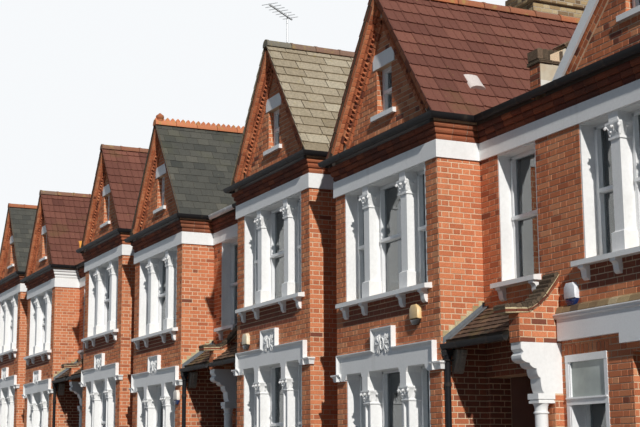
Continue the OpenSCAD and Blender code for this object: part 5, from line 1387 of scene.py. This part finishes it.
SLIM, COLUMN_Y = 0.87, 0.42
SHAFT = [(0.118, 0.450), (0.118, 0.475), (0.110, 0.490), (0.104, 0.500), (0.112, 0.515), (0.104, 0.530),
         (0.096, 0.545), (0.095, 1.2), (0.090, 2.300), (0.090, 2.318), (0.105, 2.324), (0.108, 2.334),
         (0.104, 2.344), (0.090, 2.350), (0.090, 2.385), (0.096, 2.410), (0.108, 2.432), (0.118, 2.445)]
columns = Part("turned_columns")
for line in PORCHES:
    columns.lathe(line.at, 0, COLUMN_Y, [(r * SLIM, z) for r, z in SHAFT], 32)
    columns.box(line.at, (-0.125, COLUMN_Y - 0.125, -line.level), (0.125, PIER_FRONT, 0.43))
    columns.box(line.at, (-0.125, COLUMN_Y - 0.125, 0.43), (0.125, PIER_FRONT, 0.452), taper=0.006)
    for half, z0, z1 in ((0.104, 2.445, 2.475), (0.094, 2.475, 2.492), (0.111, 2.492, COLUMN_TOP)):
        columns.box(line.at, (-half, COLUMN_Y - half, z0), (half, PIER_FRONT, z1))
columns.done(white_stone, "white_stone", ["porch_columns"], smooth=35, closed=True)

# The porch brackets, and the corbels under the porch roofs' other ends
NOSE = [(0.66, COLUMN_TOP), (0.66, BRACKET_TOP), (0.090, BRACKET_TOP), (0.090, 3.080), (0.104, 3.066),
        (0.122, 3.040), (0.104, 3.018), (0.088, 3.004)]
QUARTERS = [(0.090, 2.975), (0.205, 2.915), (0.300, 2.850), (0.352, 2.740), (0.400, COLUMN_TOP)]
CORBEL_Y, CORBEL_TOP, CORBEL_REED = 0.150, 3.190, 0.050
CORBEL = [(0, 0), (0.165, 0), (0.165, -0.045), (0.150, -0.055), (0.152, -0.085), (0.132, -0.100),
          (0.126, -0.140), (0.104, -0.185), (0.096, -0.190), (0.092, -0.225), (0.066, -0.250),
          (0.060, -0.280), (0.030, -0.300), (0, -0.300)]


def bracket_profile():
    """The bracket from the side: a roll and a groove at the nose, then quarter rounds down to the column."""
    outline = list(NOSE)
    for (y0, z0), (y1, z1) in zip(QUARTERS, QUARTERS[1:]):
        for a in arc(0, 18, 6):
            outline.append((y0 + (y1 - y0) * (1 - math.cos(a)), z0 - (z0 - z1) * math.sin(a)))
    return outline


brackets = Part("scrolled_brackets")
for line in PORCHES:
    edges = ((-0.11, 0.006), (-0.104, 0), (0.104, 0), (0.11, 0.006))
    brackets.loft([[line.at(x, y + inset, z) for y, z in bracket_profile()] for x, inset in edges])
brackets.done(white_stone, "white_stone", ["porch_brackets"], smooth=30, closed=True)

# Painted shade: the corbels are grey stone so that they read dark, as in their shade under the porch roofs.
corbels = Part("reeded_corbels")
for h in HOUSES:
    for k, swell in enumerate((0.9, 1.0, 0.9)):
        y = CORBEL_Y + CORBEL_REED * k
        rings = []
        for dy, size in ((0, 0.94), (0.008, 1.0), (CORBEL_REED - 0.008, 1.0), (CORBEL_REED, 0.94)):
            rings.append([h.at(BAY + out * swell * size, y + dy, CORBEL_TOP + z) for out, z in CORBEL])
        corbels.loft(rings)
corbels.done(grey_stone, "grey_stone", smooth=35, closed=True)


# Joinery
def sash_detail(part, h, a, b, z0, z1, y, facing=-1):
    """The upper sash's frame, the meeting rail and its horns, proud of the plain sash behind."""
    middle, head = (z0 + z1) / 2, z1 - 0.045
    near, far = sorted((y, y + facing * 0.016))
    for x0, x1 in ((a - 0.022, a + 0.012), (b - 0.012, b + 0.022)):
        part.box(h.at, (x0, near, middle), (x1, far, head))
        part.box(h.at, (x0 + 0.004, near, middle - 0.085), (x1 - 0.004, far, middle - 0.02))
    part.box(h.at, (a - 0.022, near, z1 - 0.072), (b + 0.022, far, head))
    near, far = sorted((y, y + facing * 0.026))
    part.box(h.at, (a - 0.022, near, middle - 0.024), (b + 0.022, far, middle + 0.022))


def triple_lights():
    """The three lights between a triple window's frame and piers."""
    gap, stile = PIER_W / 2 + 0.06, 0.095
    return [(-WINDOW + stile, -PIER_X - gap), (-PIER_X + gap, PIER_X - gap), (PIER_X + gap, WINDOW - stile)]


STILE = 0.06
sashes = Part("sash_details")
for h in ROW:
    for a, b in triple_lights():
        sash_detail(sashes, h, a, b, FIRST_SILL, FRIEZE, SASH_Y)
        if h is not END:
            sash_detail(sashes, h, a, b, GROUND_SILL, GROUND_HEAD, SASH_Y)
    if h is not END:
        sash_detail(sashes, h, SIDE_WINDOW_LEFT + STILE, SIDE_WINDOW_RIGHT - STILE, SIDE_SILL, FRIEZE,
                    OUT + SASH_Y)
    for a, z0, b, z1 in h.rear_openings()[:3]:
        sash_detail(sashes, h, a + STILE, b - STILE, z0, z1, h.rear()[2] - SASH_Y, 1)
sashes.done(joinery, "white_joinery", closed=True)


def shop_window():
    """The end house's ground window: a frame almost flush with the wall, a frosted light over a clear one."""
    left, right, low, high, transom, head = -1.67, -0.865, GROUND_SILL, 3.005, 2.50, 2.955
    frame = Part("end_window_frame")
    for a, b in ((left, left + 0.062), (right - 0.062, right)):
        frame.box(END.at, (a, -0.010, low), (b, 0.0, high))
    for a, b in ((left + 0.05, left + 0.085), (right - 0.060, right - 0.025)):
        frame.box(END.at, (a, -0.004, low), (b, SASH_Y, head))
    for z0, z1, y in ((high - 0.085, high, -0.014), (transom - 0.085, transom, -0.012),
                      (low, low + 0.07, -0.010)):
        frame.box(END.at, (left + 0.002, y, z0), (right - 0.002, 0.03, z1))
    frame.box(END.at, (left + 0.01, -0.030, transom - 0.014), (right - 0.01, -0.010, transom + 0.006),
              taper=0.002)
    frame.done(joinery, "white_joinery")
    pane = Part("end_frosted_light")
    pane.box(END.at, (left + 0.08, 0.018, transom), (right - 0.055, 0.022, head))
    pane.done(frosted, "glass")


shop_window()

# Doors
DOOR_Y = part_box("front_doors")[0].y - SHIFT.y
DOOR_HALF, DOOR_HEAD, DOOR_T = 0.425, 2.35, 0.045
DOOR_TONES = {"a": 0.5, "b": 0.0, "c": 0.25, "d": 0.75, "e": 1.0, "f": 0.25, "g": 0.5}


def fielded_panel(part, wall, u0, v0, u1, v1, tone):
    """A raised panel inside a moulding on a door's face."""
    rim, field = 0.022, 0.035
    for rect in ((u0, v0, u1, v0 + rim), (u0, v1 - rim, u1, v1), (u0, v0, u0 + rim, v1),
                 (u1 - rim, v0, u1, v1)):
        brick(part, wall, corners(*rect), tone, 0.014, 0.005)
    brick(part, wall, corners(u0 + field, v0 + field, u1 - field, v1 - field), tone, 0.010, 0.018)


def door_panels(part, wall, middle, tone):
    for u in (middle - 0.335, middle + 0.045):
        for low, high in ((0.20, 0.80), (1.00, 1.92)):
            fielded_panel(part, wall, u, GROUND_FLOOR + low, u + 0.29, GROUND_FLOOR + high, tone)


def door_middle(h):
    if h is END:
        return (END_DOOR_LEFT + END_DOOR_RIGHT) / 2
    return (ENTRANCE_LEFT + h.porch_party - HALF_PARTY) / 2


doors, furniture = Part("panelled_doors"), Part("door_furniture")
for h in ROW:
    middle, y, tone = door_middle(h), DOOR_Y - h.front, DOOR_TONES[h.name]
    doors.box(h.at, (middle - DOOR_HALF, y, GROUND_FLOOR), (middle + DOOR_HALF, y + DOOR_T, DOOR_HEAD), tone)
    door_panels(doors, front_wall(h, y), middle, tone)
    knob = [h.at(middle + 0.36, y - out, 1.25) for out in (0.0, 0.02, 0.035, 0.055, 0.068)]
    furniture.tube(knob, [0.020, 0.010, 0.026, 0.030, 0.012], 12)
    furniture.box(h.at, (middle - 0.13, y - 0.008, 1.17), (middle + 0.13, y, 1.23), taper=0.003)
doors.done(door_paint, "door_paint", ["front_doors"])
furniture.done(brass, "aerial", smooth=40, closed=True)

rear_panels = Part("rear_door_panels")
for h in ROW:
    left, _, right, _ = h.rear_openings()[3]
    door_panels(rear_panels, front_wall(h, h.rear()[2] - SASH_Y, 1), (left + right) / 2, 0.5)
rear_panels.done(joinery, "white_joinery")


# Alarm boxes and vents
def bevelled(part, h, x, z, outline, depth, tone):
    """A plate with a rounded front edge on a house's face."""
    mid_x, mid_z = sum(p[0] for p in outline) / len(outline), sum(p[1] for p in outline) / len(outline)
    rings = []
    for out, shrink in ((0.002, 1.0), (depth - 0.022, 0.98), (depth - 0.006, 0.90), (depth, 0.74)):
        rings.append([h.at(x + mid_x + (px - mid_x) * shrink, -out, z + mid_z + (pz - mid_z) * shrink)
                      for px, pz in outline])
    part.loft(rings, tone)


SHELL = [(-0.118, 0.012), (0.118, 0.012), (0.118, 0.15), (0.07, 0.208), (-0.07, 0.208), (-0.118, 0.15)]
LENS = [(-0.06, -0.068), (0.06, -0.068), (0.115, 0.0), (0.115, 0.010), (-0.115, 0.010), (-0.115, 0.0)]
# The house, place and tones of each box: its X and Z, then its shell's and its lens's tone
ALARMS = [(HOUSES[0], 0.915, 3.64, 0.75, 1.0), (HOUSES[1], 1.045, 3.44, 0.4, 1.0),
          (HOUSES[2], 1.365, 2.65, 0.2, 0.0), (END, -1.46, 3.65, 0.0, 0.0)]
shells, lenses = Part("alarm_shells"), Part("alarm_lenses")
for h, x, z, tone, lens_tone in ALARMS:
    bevelled(shells, h, x, z, SHELL, 0.069, tone)
    bevelled(lenses, h, x, z, LENS, 0.060, lens_tone)
shells.done(alarm_shell, "alarm", ["alarm_boxes"], smooth=40, closed=True)
lenses.done(alarm_lens, "alarm", smooth=40, closed=True)

VENT_SHARE, VENT_Y, VENT_HALF = 0.72, 0.835, 0.125
vents = Part("hooded_vents")
for h, tone in ((HOUSES[0], 0.0), (HOUSES[4], 1.0)):
    x = GABLE_FOOT * VENT_SHARE
    foot = h.at(x, VENT_Y, GABLE_RIDGE - x * math.tan(GABLE_PITCH))
    down = Vector((math.cos(GABLE_PITCH), 0, -math.sin(GABLE_PITCH)))
    normal = Vector((math.sin(GABLE_PITCH), 0, math.cos(GABLE_PITCH)))
    rings = []
    for s, height in ((-0.15, 0.035), (0.05, 0.060), (0.145, 0.085), (0.150, 0.080)):
        low = foot + down * s
        rings.append([low + normal * height * math.sin(a) ** 0.7 + Vector((0, VENT_HALF * math.cos(a), 0))
                      for a in arc(0, 22.5, 9)])
    vents.loft(rings, tone)
vents.done(vent_clay, "red_tile", ["roof_vents"], smooth=40, closed=True)

# The solids' materials, also of those that a piece stands for
FINISH = [
    (mortar, ["front_walls", "gable_walls", "party_walls", "porch_walls"]),
    (grey_mortar, ["rear_walls", "chimney_stacks"]),
    (plaster, ["lobby_walls"]),
    (boards, ["ground_floors", "first_floors", "attic_floors"]),
    (pot_clay, ["chimney_pots"]),
    (roof_slab, ["roof_" + h.name for h in ROW]),
    (joinery, ["bargeboards", "sash_windows", "shop_band", "door_frames", "rear_doors"]),
    (white_stone, ["friezes", "first_dressings", "first_columns", "first_sills", "ground_dressings",
                   "ground_sills", "carved_fields", "attic_stones", "side_sills", "porch_brackets",
                   "label_moulds", "ground_columns", "porch_columns"]),
    (grey_stone, ["rear_sills", "doorsteps"]),
    (gutter_black, ["downpipes", "gutters"]),
    (glass, ["window_glass"]),
    (porch_tile, ["porch_roofs"]),
    (aerial_metal, ["aerial"]),
    (dark_brick, ["cornices"]),
    (ridge_clay, ["ridge_tiles"]),
    (mossy_tile, ["parapet_coping", "porch_copings"]),
    (door_paint, ["front_doors"]),
    (alarm_shell, ["alarm_boxes"]),
    (vent_clay, ["roof_vents"]),
]
for finish, names in FINISH:
    for name in names:
        mesh = nodes[name].data
        mesh.materials.clear()
        mesh.materials.append(finish)


# Floor, world and light
FRONT_SKY, REAR_SKY, BACKDROP = (0.070, 0.112, 0.170), (0.44, 0.48, 0.54), (0.93, 0.95, 0.97)
SUN_SIDE, SUN_COLOUR, SUN_STRENGTH = Vector((0.840, -0.2095, 0.50)), (1.0, 0.97, 0.92), 3.5
FLOOR_HALF, FLOOR_Z, FLOOR_COLOUR, FLOOR_BOUNCE = 140, -0.002, (0.86, 0.86, 0.85), (0.10, 0.097, 0.093)


def seen_by_camera(s, *more):
    """One where a ray comes from the camera or from a reflection, else nought."""
    path = s.add("LightPath")
    seen = path.outputs["Is Camera Ray"]
    for name in ("Is Glossy Ray", *more):
        seen = s.add("Math", {0: seen, 1: path.outputs[name]}, operation="MAXIMUM").outputs[0]
    return seen


def plain_floor(colour, bounce):
    """A pale floor that throws a darker, warmer light back on the row."""
    made = bpy.data.materials.new("FloorMaterial")
    s = Shading(made)
    s.feed(s.nodes["Principled BSDF"], {
        "Roughness": 0.9, "Base Color": s.mix(bounce, colour, seen_by_camera(s))})
    return made


floor_mesh = bpy.data.meshes.new("Floor")
square = [(p.x, p.y, FLOOR_Z) for p in corners(-FLOOR_HALF, -FLOOR_HALF, FLOOR_HALF, FLOOR_HALF)]
floor_mesh.from_pydata(square, [], [(0, 1, 2, 3)])
floor_mesh.materials.append(plain_floor(FLOOR_COLOUR, FLOOR_BOUNCE))
floor = bpy.data.objects.new("Floor", floor_mesh)
bpy.context.scene.collection.objects.link(floor)

world = bpy.data.worlds.new("World")
bpy.context.scene.world = world
s = Shading(world)
seen = seen_by_camera(s, "Is Transmission Ray")
split = s.add("SeparateXYZ", {0: s.add("TexCoord").outputs["Generated"]})
behind = s.ramp(split.outputs["Y"], (0.55, 0.0), (0.90, 1.0))
sky = s.mix(s.mix(FRONT_SKY, REAR_SKY, behind), BACKDROP, seen)
s.feed(s.nodes["Background"], {"Color": sky, "Strength": 1.0})

sun = bpy.data.objects.new("Sun", bpy.data.lights.new("Sun", "SUN"))
bpy.context.scene.collection.objects.link(sun)
sun.data.energy = SUN_STRENGTH
sun.data.color = SUN_COLOUR
sun.data.angle = math.radians(1.0)
sun.rotation_euler = SUN_SIDE.to_track_quat("Z", "Y").to_euler()
